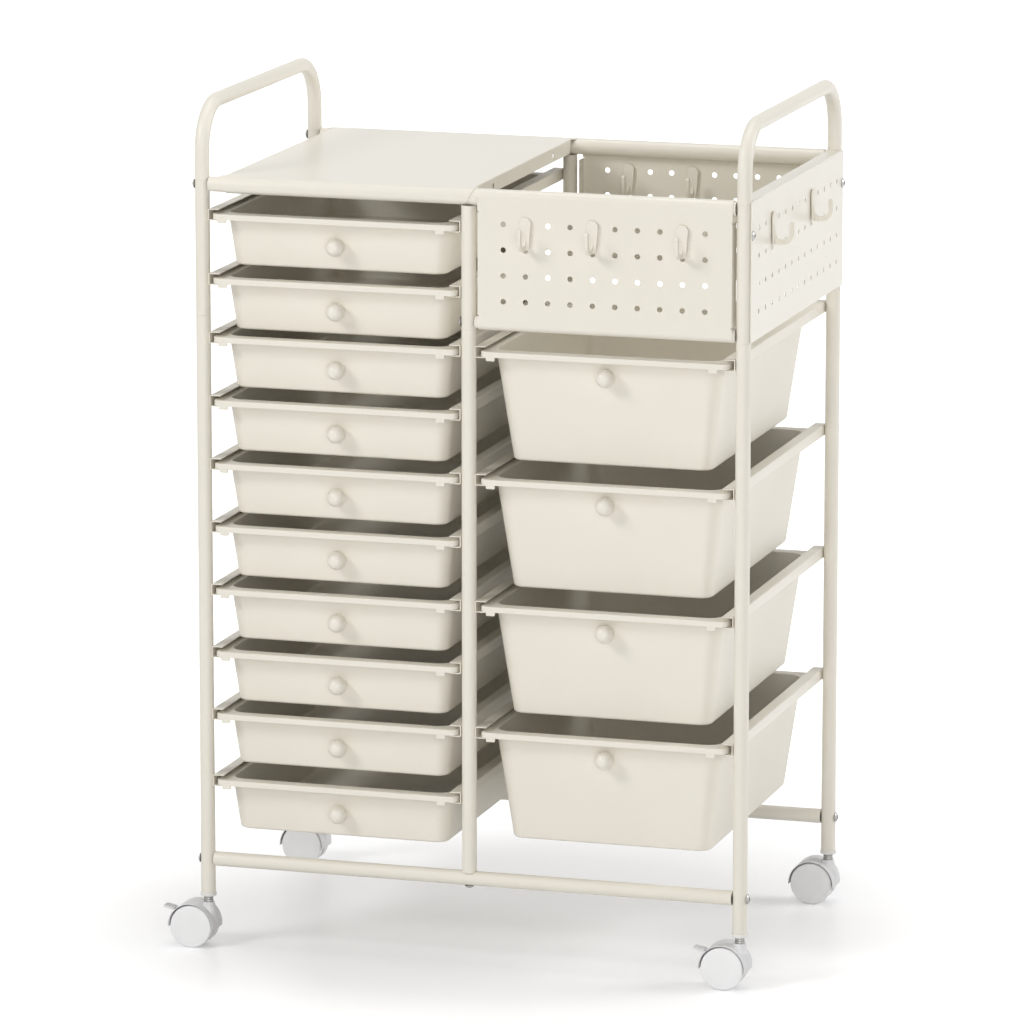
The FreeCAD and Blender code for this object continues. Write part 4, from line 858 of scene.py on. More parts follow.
knob_mesh = mesh_of("knob", knob_form(), knob_plastic)
screw_mesh = mesh_of("knob_screw", moved(screw_form(), spin(180, "X"), shift(0, 0, -WALL)), zinc)
for names, drop, word in ((shallow_names, SHALLOW_DROP, "shallow"),
                          (deep_names, DEEP_DROP, "deep")):
    for number, name in enumerate(names, start=1):
        low, high = box_mm(name)
        wall_y = mid_y - RIM_FRONT + END_INSET + slope * drop
        place = metres((low.x + high.x) / 2, wall_y, high.z - drop) @ spin(90 + DRAFT, "X")
        place_piece(f"{word}_knob_ball_{number:02d}", knob_mesh, name,
                    [f"{word}_knob_{number:02d}"], place)
        place_piece(f"{word}_knob_screw_{number:02d}", screw_mesh, name, (), place)
print("knobs made:", len(shallow_names) + len(deep_names))

# %% [markdown]
# ## Folded sheet parts
# The tray and the three pegboards are cut flat from 1 mm sheet, punched, and then folded. They are
# made here in the same order. A flat blank is cut into triangles round its holes and along its
# fold lines, each point is carried to where folding puts it, and Solidify gives the thickness.
# So every hole is a real hole, and the folds are as round as a press brake leaves them.

# %% Cut a flat blank
HOLE_STEPS = 20
FOLD_STEP = 11.25
HALF_STEPS, TOP_STEPS, RING_STEPS = (int(turn / FOLD_STEP) for turn in (180, 270, 360))


def ring_of_hole(x, y, radius):
    return [(x + radius * math.cos(math.tau * step / HOLE_STEPS),
             y + radius * math.sin(math.tau * step / HOLE_STEPS)) for step in range(HOLE_STEPS)]


def inside_outline(point, outline):
    x, y = point
    inside = False
    for (x1, y1), (x2, y2) in zip(outline, outline[1:] + outline[:1]):
        if (y1 > y) != (y2 > y) and x < (x2 - x1) * (y - y1) / (y2 - y1) + x1:
            inside = not inside
    return inside


def cut_blank(outline, holes, fold_lines):
    """Triangles of the blank. A hole is (x, y, radius) and a fold line is two points."""
    points, edges = list(outline), []
    edges += [(number, (number + 1) % len(outline)) for number in range(len(outline))]
    for x, y, radius in holes:
        first = len(points)
        points += ring_of_hole(x, y, radius)
        edges += [(first + step, first + (step + 1) % HOLE_STEPS) for step in range(HOLE_STEPS)]
    for start, end in fold_lines:
        edges.append((len(points), len(points) + 1))
        points += [start, end]
    flat = delaunay_2d_cdt([Vector(point) for point in points], edges, [], 0, 1e-5)
    vertices, faces = flat[0], []
    for face in flat[2]:
        middle = sum((vertices[number] for number in face), Vector((0, 0))) / len(face)
        punched = any((middle - Vector((x, y))).length < radius * 0.98 for x, y, radius in holes)
        if not punched and inside_outline(middle, outline):
            faces.append(tuple(face))
    return vertices, faces


def flat_size(outline):
    """Width and height of an outline, as text."""
    spans = [max(values) - min(values) for values in zip(*outline)]
    return f"{spans[0]:.1f} x {spans[1]:.1f} mm"


print("a fold is bent in steps of", FOLD_STEP, "degrees")

# %% Fold a blank and give it its thickness
def folded(blank, fold):
    """fold(x, y) gives a point's place in the cart for its place on the blank."""
    vertices, faces = blank
    return form_of([fold(point.x, point.y) for point in vertices], faces)


def make_sheet_piece(name, form, outside, node):
    """outside is a point on the side that Solidify leaves where it is."""
    loose = [vertex for vertex in form.verts if not vertex.link_faces]
    bmesh.ops.delete(form, geom=loose, context="VERTS")
    weld(form)
    widest = max(form.faces, key=lambda face: face.calc_area())
    if widest.normal.dot(Vector(outside) - widest.calc_center_median()) < 0:
        bmesh.ops.reverse_faces(form, faces=form.faces)
    mesh = smooth_mesh(name, form, sheet_enamel)
    piece = place_piece(name, mesh, "frame", [node])
    thick = piece.modifiers.new("sheet thickness", "SOLIDIFY")
    thick.thickness = SHEET * MM
    thick.offset = -1
    thick.use_even_offset = True
    soften_edges(piece, SHEET_EDGE)


def bend(distance, radius):
    """Where a sheet's outer face lies after a run along an arc that starts along +X.
    Gives how far it has gone on, and how far it has turned in."""
    angle = distance / radius
    return radius * math.sin(angle), radius * (1 - math.cos(angle))


WRAP_RADIUS = 9.05
SHORT_WRAP_RADIUS = 7.8
QUARTER = math.pi / 2
SHEET_FOLD = 1.3
SHEET_EDGE = 0.18
END_STEPS = 4


def end_folds(edges, low, high):
    """Fold lines from low to high for the round folds at both ends, given as (side, x)."""
    lines = []
    for side, edge in edges:
        for step in range(END_STEPS + 1):
            across = edge + side * SHEET_FOLD * (QUARTER * step / END_STEPS - 1)
            lines.append(((across, low), (across, high)))
    return lines


def turned_in(x, edges):
    """X and depth behind the face for a place across a blank, its ends folded at the edges."""
    for side, edge in edges:
        start = edge - side * SHEET_FOLD
        past = (x - start) * side
        if past <= 0:
            continue
        if past <= SHEET_FOLD * QUARTER:
            forward, behind = bend(past, SHEET_FOLD)
            return start + side * forward, behind
        return edge, SHEET_FOLD + past - SHEET_FOLD * QUARTER
    return x, 0.0


print("a quarter of the top wrap takes", round(WRAP_RADIUS * QUARTER, 2), "mm of sheet")

# %% [markdown]
# ### Tray
# Its long edges wrap half round the top crossbars and end in a short return. Its short edges turn
# down to skirts, each with two holes. Notches beside the skirts let the folds end cleanly, and the
# wrap's ends are cut on a slant, so that tray and pegboards meet in a slanted seam.

# %% Tray blank
WRAP_RETURN, SKIRT, SKIRT_GAP = 4.0, 16.0, 2.0
SEAM_RUN, TRAY_END_RUN = 9.2, 3.8
NOTCH = 1.8
TRAY_LEFT, TRAY_RIGHT = left_x + 23.0, middle_x + 3.7
tray_edges = ((-1, TRAY_LEFT), (1, TRAY_RIGHT))
tray_wrap_left, tray_wrap_right = TRAY_LEFT - TRAY_END_RUN, TRAY_RIGHT + TRAY_END_RUN
half_tray = (back_y - front_y) / 2
skirt_end = half_tray - WRAP_RADIUS - SKIRT_GAP
skirt_run = SKIRT - SHEET_FOLD + SHEET_FOLD * QUARTER
tray_wrap = WRAP_RADIUS * math.pi
tray_reach = half_tray + tray_wrap + WRAP_RETURN


def seam_shift(run):
    """How far the slanted end has moved in, for a run round the wrap from its top."""
    angle = min(run / WRAP_RADIUS, math.pi)
    return SEAM_RUN * (1 - math.cos(angle)) / 2


def tray_corner(side_x, end_y):
    """Outline from a skirt to the middle of a return, for one corner of the blank."""
    wrap_end = tray_wrap_left if side_x < 0 else tray_wrap_right
    edge = TRAY_LEFT if side_x < 0 else TRAY_RIGHT
    skirt = edge + side_x * (skirt_run - SHEET_FOLD)
    fold = edge - side_x * SHEET_FOLD
    inward = fold - side_x * 0.5
    points = [(skirt, skirt_end - 2.0), (skirt - side_x * 0.6, skirt_end - 0.6),
              (skirt - side_x * 2.0, skirt_end), (inward, skirt_end),
              (inward, skirt_end + NOTCH), (wrap_end, skirt_end + NOTCH), (wrap_end, half_tray)]
    for step in range(1, HALF_STEPS + 1):
        run = tray_wrap * step / HALF_STEPS
        points.append((wrap_end - side_x * seam_shift(run), half_tray + run))
    points.append((wrap_end - side_x * SEAM_RUN, tray_reach))
    return [(x, y * end_y) for x, y in points]


tray_outline = tray_corner(1, 1) + tray_corner(-1, 1)[::-1]
tray_outline += tray_corner(-1, -1) + tray_corner(1, -1)[::-1]
tray_folds = []
for end_y in (-1, 1):
    for step in range(HALF_STEPS + 1):
        run = half_tray + tray_wrap * step / HALF_STEPS
        tray_folds.append(((TRAY_LEFT - 30, run * end_y), (TRAY_RIGHT + 30, run * end_y)))
tray_folds += end_folds(tray_edges, -skirt_end, skirt_end)
SKIRT_HOLE_SPREAD, SKIRT_HOLE = 112.0, 3.0
hole_run = WRAP_RADIUS - SHEET_FOLD + SHEET_FOLD * (QUARTER - 1)
tray_holes = []
for side_x, edge in tray_edges:
    for end_y in (-1, 1):
        tray_holes.append((edge + side_x * hole_run, SKIRT_HOLE_SPREAD * end_y, SKIRT_HOLE))
tray_blank = cut_blank(tray_outline, tray_holes, tray_folds)
print("tray blank:", flat_size(tray_outline), "along its outer face")

# %% Fold the tray
TRAY_TOP = TOP_BAR + WRAP_RADIUS


def wrap_end(run):
    """Height below the top and reach beyond the bar's middle, for a run past it."""
    if run <= 0:
        return 0.0, run
    if run <= tray_wrap:
        forward, down = bend(run, WRAP_RADIUS)
        return down, forward
    return 2 * WRAP_RADIUS, tray_wrap - run


def fold_tray(x, y):
    side = -1 if y < 0 else 1
    if abs(y) <= skirt_end + 0.01:
        across, down = turned_in(x, tray_edges)
        return across, mid_y + y, TRAY_TOP - down
    down, forward = wrap_end(abs(y) - half_tray)
    return x, mid_y + side * (half_tray + forward), TRAY_TOP - down


make_sheet_piece("tray_sheet", folded(tray_blank, fold_tray), (0, 0, 2000), "tray")
print("tray top at", round(TRAY_TOP, 2))

# %% [markdown]
# ### Front and rear pegboards
# The board's top edge goes three quarters round the top crossbar, and its bottom edge three
# quarters round the short crossbar. Flanges are folded back at both ends. On the left the top
# wrap runs on past the flange as a full ring, cut free by a slit, to meet the tray's slanted end.

# %% Board blank
BOARD_LEFT, BOARD_RIGHT = middle_x + 12.1, right_x - 10.6
board_edges = ((-1, BOARD_LEFT), (1, BOARD_RIGHT))
BOARD_FLANGE, FLANGE_TOP_DROP, FLANGE_GAP = 16.0, 14.45, 1.0
SEAM_LOW = tray_wrap_right - SEAM_RUN + 0.6
SLIT = 0.4
top_wrap = WRAP_RADIUS * 3 * QUARTER
flat_run = TOP_BAR - SHORT_BAR
low_wrap = SHORT_WRAP_RADIUS * 3 * QUARTER
flange_run = BOARD_FLANGE - SHEET_FOLD + SHEET_FOLD * (QUARTER - 1)
ring_end = top_wrap + WRAP_RADIUS * QUARTER
flange_from = top_wrap + FLANGE_TOP_DROP
flange_to = top_wrap + flat_run - SHORT_WRAP_RADIUS - FLANGE_GAP
FLANGE_CORNER = 2.0


def seam_x(step):
    """X of the ring's slanted end, a step at a time round the bar from below."""
    return SEAM_LOW + SEAM_RUN * (1 - math.cos(math.radians(step * FOLD_STEP))) / 2


def flange_outline(edge, side):
    """Outline of a flange with its corner cuts, from its upper end to its lower one."""
    tip = edge + side * flange_run
    inward = edge - side * (SHEET_FOLD + 0.4)
    return [(edge, flange_from - 1.2 * (side > 0)), (inward, flange_from - 1.2 * (side > 0)),
            (inward, flange_from), (tip - side * FLANGE_CORNER, flange_from),
            (tip - side * 0.6, flange_from + 0.6), (tip, flange_from + FLANGE_CORNER),
            (tip, flange_to - FLANGE_CORNER), (tip - side * 0.6, flange_to - 0.6),
            (tip - side * FLANGE_CORNER, flange_to), (inward, flange_to),
            (inward, flange_to + 1.2), (edge, flange_to + 1.2)]


board_end = top_wrap + flat_run + low_wrap
board_outline = [(BOARD_RIGHT, 0.0)] + flange_outline(BOARD_RIGHT, 1)
board_outline += [(BOARD_RIGHT, board_end), (BOARD_LEFT, board_end)]
left_flange = flange_outline(BOARD_LEFT, -1)[::-1]
board_outline += left_flange[:-2]
board_outline += [(BOARD_LEFT + SHEET_FOLD + 0.4, ring_end - 0.6), (BOARD_LEFT, ring_end - 0.6),
                  (BOARD_LEFT, top_wrap), (BOARD_LEFT - SLIT, top_wrap),
                  (BOARD_LEFT - SLIT, ring_end)]
board_outline += [(seam_x(step), ring_end * step / RING_STEPS)
                  for step in range(RING_STEPS, -1, -1)]
board_folds = []
for step in range(RING_STEPS + 1):
    run = WRAP_RADIUS * math.radians(step * FOLD_STEP)
    right_end = BOARD_RIGHT + 5 if step <= TOP_STEPS else BOARD_LEFT - SLIT
    board_folds.append(((SEAM_LOW - 5, run), (right_end, run)))
for step in range(TOP_STEPS + 1):
    run = top_wrap + flat_run + SHORT_WRAP_RADIUS * math.radians(step * FOLD_STEP)
    board_folds.append(((BOARD_LEFT - 5, run), (BOARD_RIGHT + 5, run)))
board_folds += end_folds(board_edges, flange_from, flange_to)
PEG_RADIUS = 3.0
COLUMNS, COLUMN_START = 10, BOARD_LEFT + 28.75
column_pitch = (BOARD_RIGHT - 29.67 - COLUMN_START) / (COLUMNS - 1)
ROWS, TOP_ROW_DROP, ROW_PITCH = 4, 26.8, 27.65
board_holes = [(COLUMN_START + column_pitch * column, top_wrap + TOP_ROW_DROP + ROW_PITCH * row,
                PEG_RADIUS) for column in range(COLUMNS) for row in range(ROWS)]
flange_hole = BOARD_FLANGE - 4.0 - SHEET_FOLD + SHEET_FOLD * (QUARTER - 1)
for side, edge in board_edges:
    board_holes.append((edge + side * flange_hole, top_wrap + 20.1, 2.0))
board_blank = cut_blank(board_outline, board_holes, board_folds)
print("board blank:", flat_size(board_outline), "along its outer face,", len(board_holes), "holes")

# %% Fold the boards
def round_bar(run, radius, start):
    """Outward reach and height from the bar's middle, the angle growing from start degrees."""
    angle = math.radians(start) - run / radius
    return radius * math.cos(angle), radius * math.sin(angle)


BOARD_FACE = half_tray + WRAP_RADIUS
short_bar_out = BOARD_FACE - SHORT_WRAP_RADIUS


def board_section(run, ring):
    """Outward place and height for a run down the blank."""
    if run <= top_wrap or ring:
        out, up = round_bar(run, WRAP_RADIUS, 270)
        return half_tray + out, TOP_BAR + up
    if run <= top_wrap + flat_run:
        return BOARD_FACE, TOP_BAR - (run - top_wrap)
    out, up = round_bar(run - top_wrap - flat_run, SHORT_WRAP_RADIUS, 0)
    return short_bar_out + out, SHORT_BAR + up


def fold_board(side):
    """side is -1 for the front board and 1 for the rear one."""
    def fold(x, run):
        ring = x < BOARD_LEFT - SLIT / 2 and run < ring_end + 0.01
        behind = 0.0
        if flange_from - 0.01 <= run <= flange_to + 0.01 and not ring:
            x, behind = turned_in(x, board_edges)
        out, z = board_section(run, ring)
        return x, mid_y + side * (out - behind), z
    return fold


for word, side in (("front", -1), ("rear", 1)):
    make_sheet_piece(f"pegboard_{word}_sheet", folded(board_blank, fold_board(side)),
                     (150, 5000 * side, 760), f"pegboard_{word}")
print("board face", round(BOARD_FACE, 2), "mm from the middle of the cart")

# %% [markdown]
# ### Side pegboard
# This board is bolted flat on the outer side of the right posts. Only its top edge is folded, and
# the fold is cut away round each post.

# %% Side board
side_low, side_high = box_mm("pegboard_side")
SIDE_FACE, SIDE_BOTTOM, SIDE_TOP = side_high.x, side_low.z, side_high.z
SIDE_FLANGE = 15.0
side_half = (side_high.y - side_low.y) / 2
side_height = SIDE_TOP - SIDE_BOTTOM
side_fold_at = side_height - SHEET_FOLD
side_flange_end = side_fold_at + SHEET_FOLD * QUARTER + SIDE_FLANGE - SHEET_FOLD
CLEAR = TUBE_RADIUS + 0.5


def side_end(end_y):
    """Half of the outline, from the bottom corner to the middle of the flange."""
    post_in = SIDE_FACE - right_x
    points = rounded([(0, 0, 0), (side_half, 0, 1.5), (side_half, side_height - 0.2, 1.0),
                      (0, side_height - 0.2, 0)])[1:-1]
    notch = []
    for angle in range(-20, -121, -10):
        across = half_tray + CLEAR * math.sin(math.radians(angle))
        inward = post_in - CLEAR * math.cos(math.radians(angle))
        run = side_fold_at + SHEET_FOLD * QUARTER + inward - SHEET_FOLD
        if run > side_fold_at + SHEET_FOLD * QUARTER and run < side_flange_end - 0.5:
            notch.append((across, run))
    relief = half_tray - 2.0
    points += [(relief, side_height - 0.2), (relief, side_fold_at - 0.5),
               (notch[0][0], side_fold_at - 0.5)]
    points += notch
    points.append((notch[-1][0], side_flange_end))
    return [(y * end_y, run) for y, run in points]


side_outline = side_end(1) + side_end(-1)[::-1]
side_folds = [((-side_half, side_fold_at + SHEET_FOLD * QUARTER * step / 4),
               (side_half, side_fold_at + SHEET_FOLD * QUARTER * step / 4)) for step in range(5)]
SIDE_COLUMNS, SIDE_ROWS = 13, 4
FRONT_MARGIN, BACK_MARGIN = 30.6, 27.8
SIDE_ROW_DROP, SIDE_ROW_PITCH = 22.6, 29.8
side_start = -side_half + FRONT_MARGIN
side_pitch = (2 * side_half - FRONT_MARGIN - BACK_MARGIN) / (SIDE_COLUMNS - 1)
side_top_row = TOP_BAR - SIDE_ROW_DROP - SIDE_BOTTOM
side_holes = [(side_start + side_pitch * column, side_top_row - SIDE_ROW_PITCH * row, PEG_RADIUS)
              for column in range(SIDE_COLUMNS) for row in range(SIDE_ROWS)]
side_blank = cut_blank(side_outline, side_holes, side_folds)


def fold_side(y, run):
    past = run - side_fold_at
    if past <= 0:
        return SIDE_FACE, mid_y + y, SIDE_BOTTOM + run
    if past <= SHEET_FOLD * QUARTER:
        up, inward = bend(past, SHEET_FOLD)
        return SIDE_FACE - inward, mid_y + y, SIDE_BOTTOM + side_fold_at + up
    return SIDE_FACE - SHEET_FOLD - past + SHEET_FOLD * QUARTER, mid_y + y, SIDE_TOP


make_sheet_piece("pegboard_side_sheet", folded(side_blank, fold_side), (5000, 0, 780),
                 "pegboard_side")
print("side board blank:", flat_size(side_outline), "along its outer face")

# %% [markdown]
# ## Hooks
# Each hook is moulded in one piece: a plate with a round top and a thin J-shaped blade that
# leaves the plate's foot and turns up. A barbed peg behind the plate holds it in a hole of the
# board, and a short stud below rests on the board's face. The plate's faint raised border is a
# guess: the photograph is too small to show whether there is one.

# %% Hook
HOOK_TOP, HOOK_HEIGHT, HOOK_REACH = 8.7, 35.2, 24.0
PLATE_RADIUS, FOOT_HALF, PLATE_BACK, PLATE_THICK = 7.0, 4.8, 1.0, 2.5
PLATE_FACE, FOOT_ROUND = -PLATE_BACK - PLATE_THICK, 3.0
BLADE, BLADE_BAR, TIP_DROP = 3.2, 5.2, 10.5


def foot_corners(inset):
    half, foot = FOOT_HALF - inset, HOOK_TOP - HOOK_HEIGHT + inset
    height, radius = foot + FOOT_ROUND - inset, FOOT_ROUND - inset
    left = arc((-half + FOOT_ROUND - inset, height), radius, 180, 270, 5)
    right = arc((half - FOOT_ROUND + inset, height), radius, 270, 360, 5)
    return left + right


def plate_ring(inset, y):
    centre = HOOK_TOP - PLATE_RADIUS
    outline = arc((0, centre), PLATE_RADIUS - inset, 4, 176, 18) + foot_corners(inset)
    return [(x, y, z) for x, z in outline]


def plate_form():
    """Rings from the back face, round the edge, over the border and down to the panel."""
    face = PLATE_FACE
    steps = ((1.0, -PLATE_BACK), (0.35, -PLATE_BACK), (0.0, -PLATE_BACK - 0.35),
             (0.0, face + 0.7), (0.2, face + 0.25), (0.7, face), (1.15, face),
             (1.3, face + 0.1), (1.5, face + 0.25), (1.8, face + 0.3), (2.3, face + 0.3))
    return skin([plate_ring(inset, y) for inset, y in steps])


def blade_form():
    face = PLATE_FACE
    back = face + 1.0
    foot = HOOK_TOP - HOOK_HEIGHT
    tip_out = -HOOK_REACH
    tip_in = tip_out + BLADE_BAR
    bend_in = (face - tip_in) / 2
    bend_out = bend_in + BLADE_BAR
    turn_y, turn_z = face - bend_in, foot + bend_out
    tip_top = HOOK_TOP - TIP_DROP
    outline = [(back, foot + 0.6), (back, turn_z + 5.0), (face, turn_z + 4.0), (face, turn_z + 1)]
    outline += arc((turn_y, turn_z), bend_in, 0, -180, 16)
    outline += arc((tip_in - BLADE_BAR / 2, tip_top - BLADE_BAR / 2), BLADE_BAR / 2, 0, 180, 10)
    outline += arc((turn_y, turn_z), bend_out, 180, 270, 12)
    outline.append((face, foot))
    return skin([[(x, y, z) for y, z in outline] for x in (-BLADE / 2, BLADE / 2)])


def peg_form():
    peg = turned([(2.7, 0), (2.7, 3.2), (2.4, 3.9), (1.6, 4.0)], 24)
    rest = turned([(1.6, 0), (1.6, 0.8), (1.4, 1.0)], 20)
    barb = prism(rounded([(-1.6, 0, 0.4), (1.6, 0, 0.4), (1.6, 5.6, 1.0), (-1.6, 5.6, 1.0)]),
                 0, 1.5)
    backwards = spin(-90, "X")
    barb_turn = spin(90, "X")
    return joined(moved(peg, backwards, shift(0, -1.0, 0)),
                  moved(rest, backwards, shift(0, -1.0, HOOK_TOP - HOOK_HEIGHT + FOOT_HALF)),
                  moved(barb, barb_turn, shift(0, 3.0, 0)))


HOOK_EDGE = 0.5
FRONT_HOOKS, REAR_HOOKS, SIDE_HOOKS = (1, 4, 8), (1, 4), (2, 8)
hook_master = master_mesh("hook", joined(plate_form(), blade_form(), peg_form()), hook_plastic,
                          HOOK_EDGE)
top_row = TOP_BAR - TOP_ROW_DROP
hook_places = [metres(COLUMN_START + column_pitch * column, mid_y - BOARD_FACE, top_row)
               for column in FRONT_HOOKS]
hook_places += [metres(COLUMN_START + column_pitch * column, mid_y + BOARD_FACE - SHEET, top_row)
                for column in REAR_HOOKS]
hook_places += [metres(SIDE_FACE, mid_y + side_start + side_pitch * column,
                       TOP_BAR - SIDE_ROW_DROP) @ spin(90, "Z") for column in SIDE_HOOKS]
for number, place in enumerate(hook_places, start=1):
    place_piece(f"hook_{number}", hook_master, "frame",
                ["pegboard_hooks"] if number == 1 else (), place)
print("hooks made:", len(hook_places))

# %% [markdown]
# ## Bolts
# The frame is held by domed bolts with a hexagonal socket. The socket's wall is a ring bent to a
# hexagon, so the dome, the socket and its floor are one turned skin.

# %% Bolt
BOLT_HEAD, BOLT_RISE, BOLT_RIM, BOLT_SHANK = 5.3, 3.0, 0.7, 2.5
HEX_HALF = 1.9
PANEL_BOLT_DROP = 27.7


def hexagon(radius, angle):
    turn = (angle + math.pi / 6) % (math.pi / 3) - math.pi / 6
    return radius / math.cos(turn)


def bolt_form(length):
    dome = BOLT_RISE - BOLT_RIM
    dome_radius = (BOLT_HEAD ** 2 + dome ** 2) / (2 * dome)
    centre = BOLT_RISE - dome_radius
    edge = math.degrees(math.acos(BOLT_HEAD / dome_radius))
    socket = math.degrees(math.acos((HEX_HALF * 1.3) / dome_radius))
    profile = [(BOLT_SHANK, -length), (BOLT_SHANK, 0), (BOLT_HEAD - 0.3, 0), (BOLT_HEAD, 0.2)]
    profile += arc((0, centre), dome_radius, edge, socket, 8)
    rings = [ring_about_z(radius, height, SCREW_SIDES) for radius, height in profile]
    face = profile[-1][1]
    rings += [ring_about_z(radius, height, SCREW_SIDES, hexagon) for radius, height in (
        (HEX_HALF, face - 0.02), (HEX_HALF, face - 1.2), (0.3, face - 1.5))]
    return skin(rings)


long_bolt = mesh_of("frame_bolt", bolt_form(12.0), zinc)
panel_bolt = mesh_of("panel_bolt", bolt_form(8.0), zinc)
outwards_left, outwards_right = spin(-90, "Y"), spin(90, "Y")
bolt_places = []
for y, side in row_sides:
    short_y = y + SHORT_BAR_GAP * side
    bolt_places += [
        (long_bolt, metres(left_x - TUBE_RADIUS, y, BOTTOM_BAR) @ outwards_left),
        (long_bolt, metres(left_x - TUBE_RADIUS, y, TOP_BAR) @ outwards_left),
        (long_bolt, metres(right_x + TUBE_RADIUS, y, BOTTOM_BAR) @ outwards_right),
        (panel_bolt, metres(SIDE_FACE, y, TOP_BAR - PANEL_BOLT_DROP) @ outwards_right),
        (long_bolt, metres(middle_x, y, BOTTOM_BAR - TUBE_RADIUS) @ spin(180, "X")),
        (long_bolt, metres(middle_x - TUBE_RADIUS, short_y, SHORT_BAR) @ outwards_left),
    ]
for number, (mesh, place) in enumerate(bolt_places, start=1):
    place_piece(f"bolt_{number:02d}", mesh, "frame",
                ["frame_bolts"] if number == 1 else (), place)
print("bolts made:", len(bolt_places))

# %% [markdown]
# ## Post sockets and stems
# A plastic socket closes each post's foot, and the caster's steel stem stands in it. Between
# socket and hood the stem shows two rings. Both are turned parts.

# %% Sockets and stems
HOOD_TOP = 50.0
socket_profile = [(4.6, -4.0), (7.9, -4.0), (8.5, -3.8), (8.75, -3.4), (8.75, -0.6), (8.6, -0.15),
                  (8.2, 0.0), (6.7, 0.0), (6.7, 25.4), (6.2, 26.0), (4.6, 26.0)]
stem_profile = [(2.8, -18.0), (2.8, 0.3), (5.0, 0.3), (5.3, 0.55), (5.3, 2.3), (5.0, 2.55),
                (4.3, 2.6), (4.3, 3.6), (5.0, 3.65), (5.3, 3.9), (5.3, 5.0), (5.0, 5.25),
                (4.3, 5.3), (4.3, 33.0), (3.9, 34.0)]
sockets = [moved(turned(socket_profile, 40, closed=True), shift(x, y, FOOT))
           for x in (left_x, right_x) for y in rows.values()]
stems = [moved(turned(stem_profile, 32), shift(x, y, HOOD_TOP))
         for x in (left_x, right_x) for y in rows.values()]
make_piece("socket_caps", joined(*sockets), cap_plastic, "frame",
           ["post_sockets"])
make_piece("stems", joined(*stems), zinc, "frame", ["caster_stems"])
print(f"sockets made: {len(sockets)}, in posts from {FOOT:.1f}, stems from {HOOD_TOP:.1f}")

# %% [markdown]
# ## Casters
# A moulded hood covers a pair of wheels. Its boss holds the stem, and both flow into each other
# with soft fillets. The hood is put together from plain solids with Booleans, then remeshed to
# small voxels and smoothed, which rounds every edge and fills every corner as moulding does.

# %% Hood
WHEEL_RADIUS, HOOD_RADIUS, WELL_RADIUS = 23.4, 25.8, 24.95
HOOD_HALF, WEB_HALF = 17.0, 4.7
TRAIL = 16.0
PIVOT_RISE = 13.9
VOXEL = 0.42


def scratch_object(name, form):
    return add_object(name, mesh_of(name, form, hood_plastic))


def hood_solids(braked):
    """Solids that are added, and solids that are then cut away."""
    outline = [(HOOD_RADIUS, -3.6)]
    outline += arc((0, 0), HOOD_RADIUS, 0, 180, 72)
    outline.append((-HOOD_RADIUS, -1.6))
    shell = prism_along_y(outline, -HOOD_HALF, HOOD_HALF)
    boss = turned([(9.9, 4.0), (9.9, 13.0), (9.6, 16.6), (8.4, 19.4), (7.2, 22.6), (6.5, 26.0),
                   (6.4, 26.6)], 56)
    added = [shell, moved(boss, shift(TRAIL, 0, 0))]
    cuts = []
    for side in (-1, 1):
        well = turned([(WELL_RADIUS, 0), (WELL_RADIUS, 30)], 96)
        cuts.append(moved(well, spin(-90 * side, "X"), shift(0, side * WEB_HALF, 0)))
    if braked:
        slot = rounded([(-60, PIVOT_RISE - 4.9, 0), (-5.5, PIVOT_RISE - 4.9, 0),
                        (-5.5, PIVOT_RISE + 6.6, 0), (-60, PIVOT_RISE + 6.6, 0)])
        cuts.append(prism_along_y(slot, -2.2, 2.2))
    return added, cuts


def hood_master(name, braked):
    added, cuts = hood_solids(braked)
    whole = scratch_object(name, added[0])
    helpers = []
    for operation, forms in (("UNION", added[1:]), ("DIFFERENCE", cuts)):
        for form in forms:
            helper = scratch_object("hood_helper", form)
            helpers.append(helper)
            step = whole.modifiers.new(operation.lower(), "BOOLEAN")
            step.operation = operation
            step.object = helper
            step.solver = "EXACT"
    remesh = whole.modifiers.new("moulded", "REMESH")
    remesh.mode = "VOXEL"
    remesh.voxel_size = VOXEL * MM
    smooth = whole.modifiers.new("fillets", "SMOOTH")
    smooth.factor = 0.5
    smooth.iterations = 5
    fewer = whole.modifiers.new("fewer faces", "DECIMATE")
    fewer.ratio = 0.22
    mesh = settled(whole)
    for thing in [whole, *helpers]:
        bpy.data.objects.remove(thing)
    mesh.name = name
    mesh.polygons.foreach_set("use_smooth", [True] * len(mesh.polygons))
    mesh.materials.clear()
    mesh.materials.append(hood_plastic)
    return mesh


plain_hood, braked_hood = hood_master("plain_hood", False), hood_master("braked_hood", True)
print("faces of a hood:", len(plain_hood.polygons), "and", len(braked_hood.polygons))

# %% Wheels and axle
WHEEL_OUT, WHEEL_IN = 16.4, 5.2


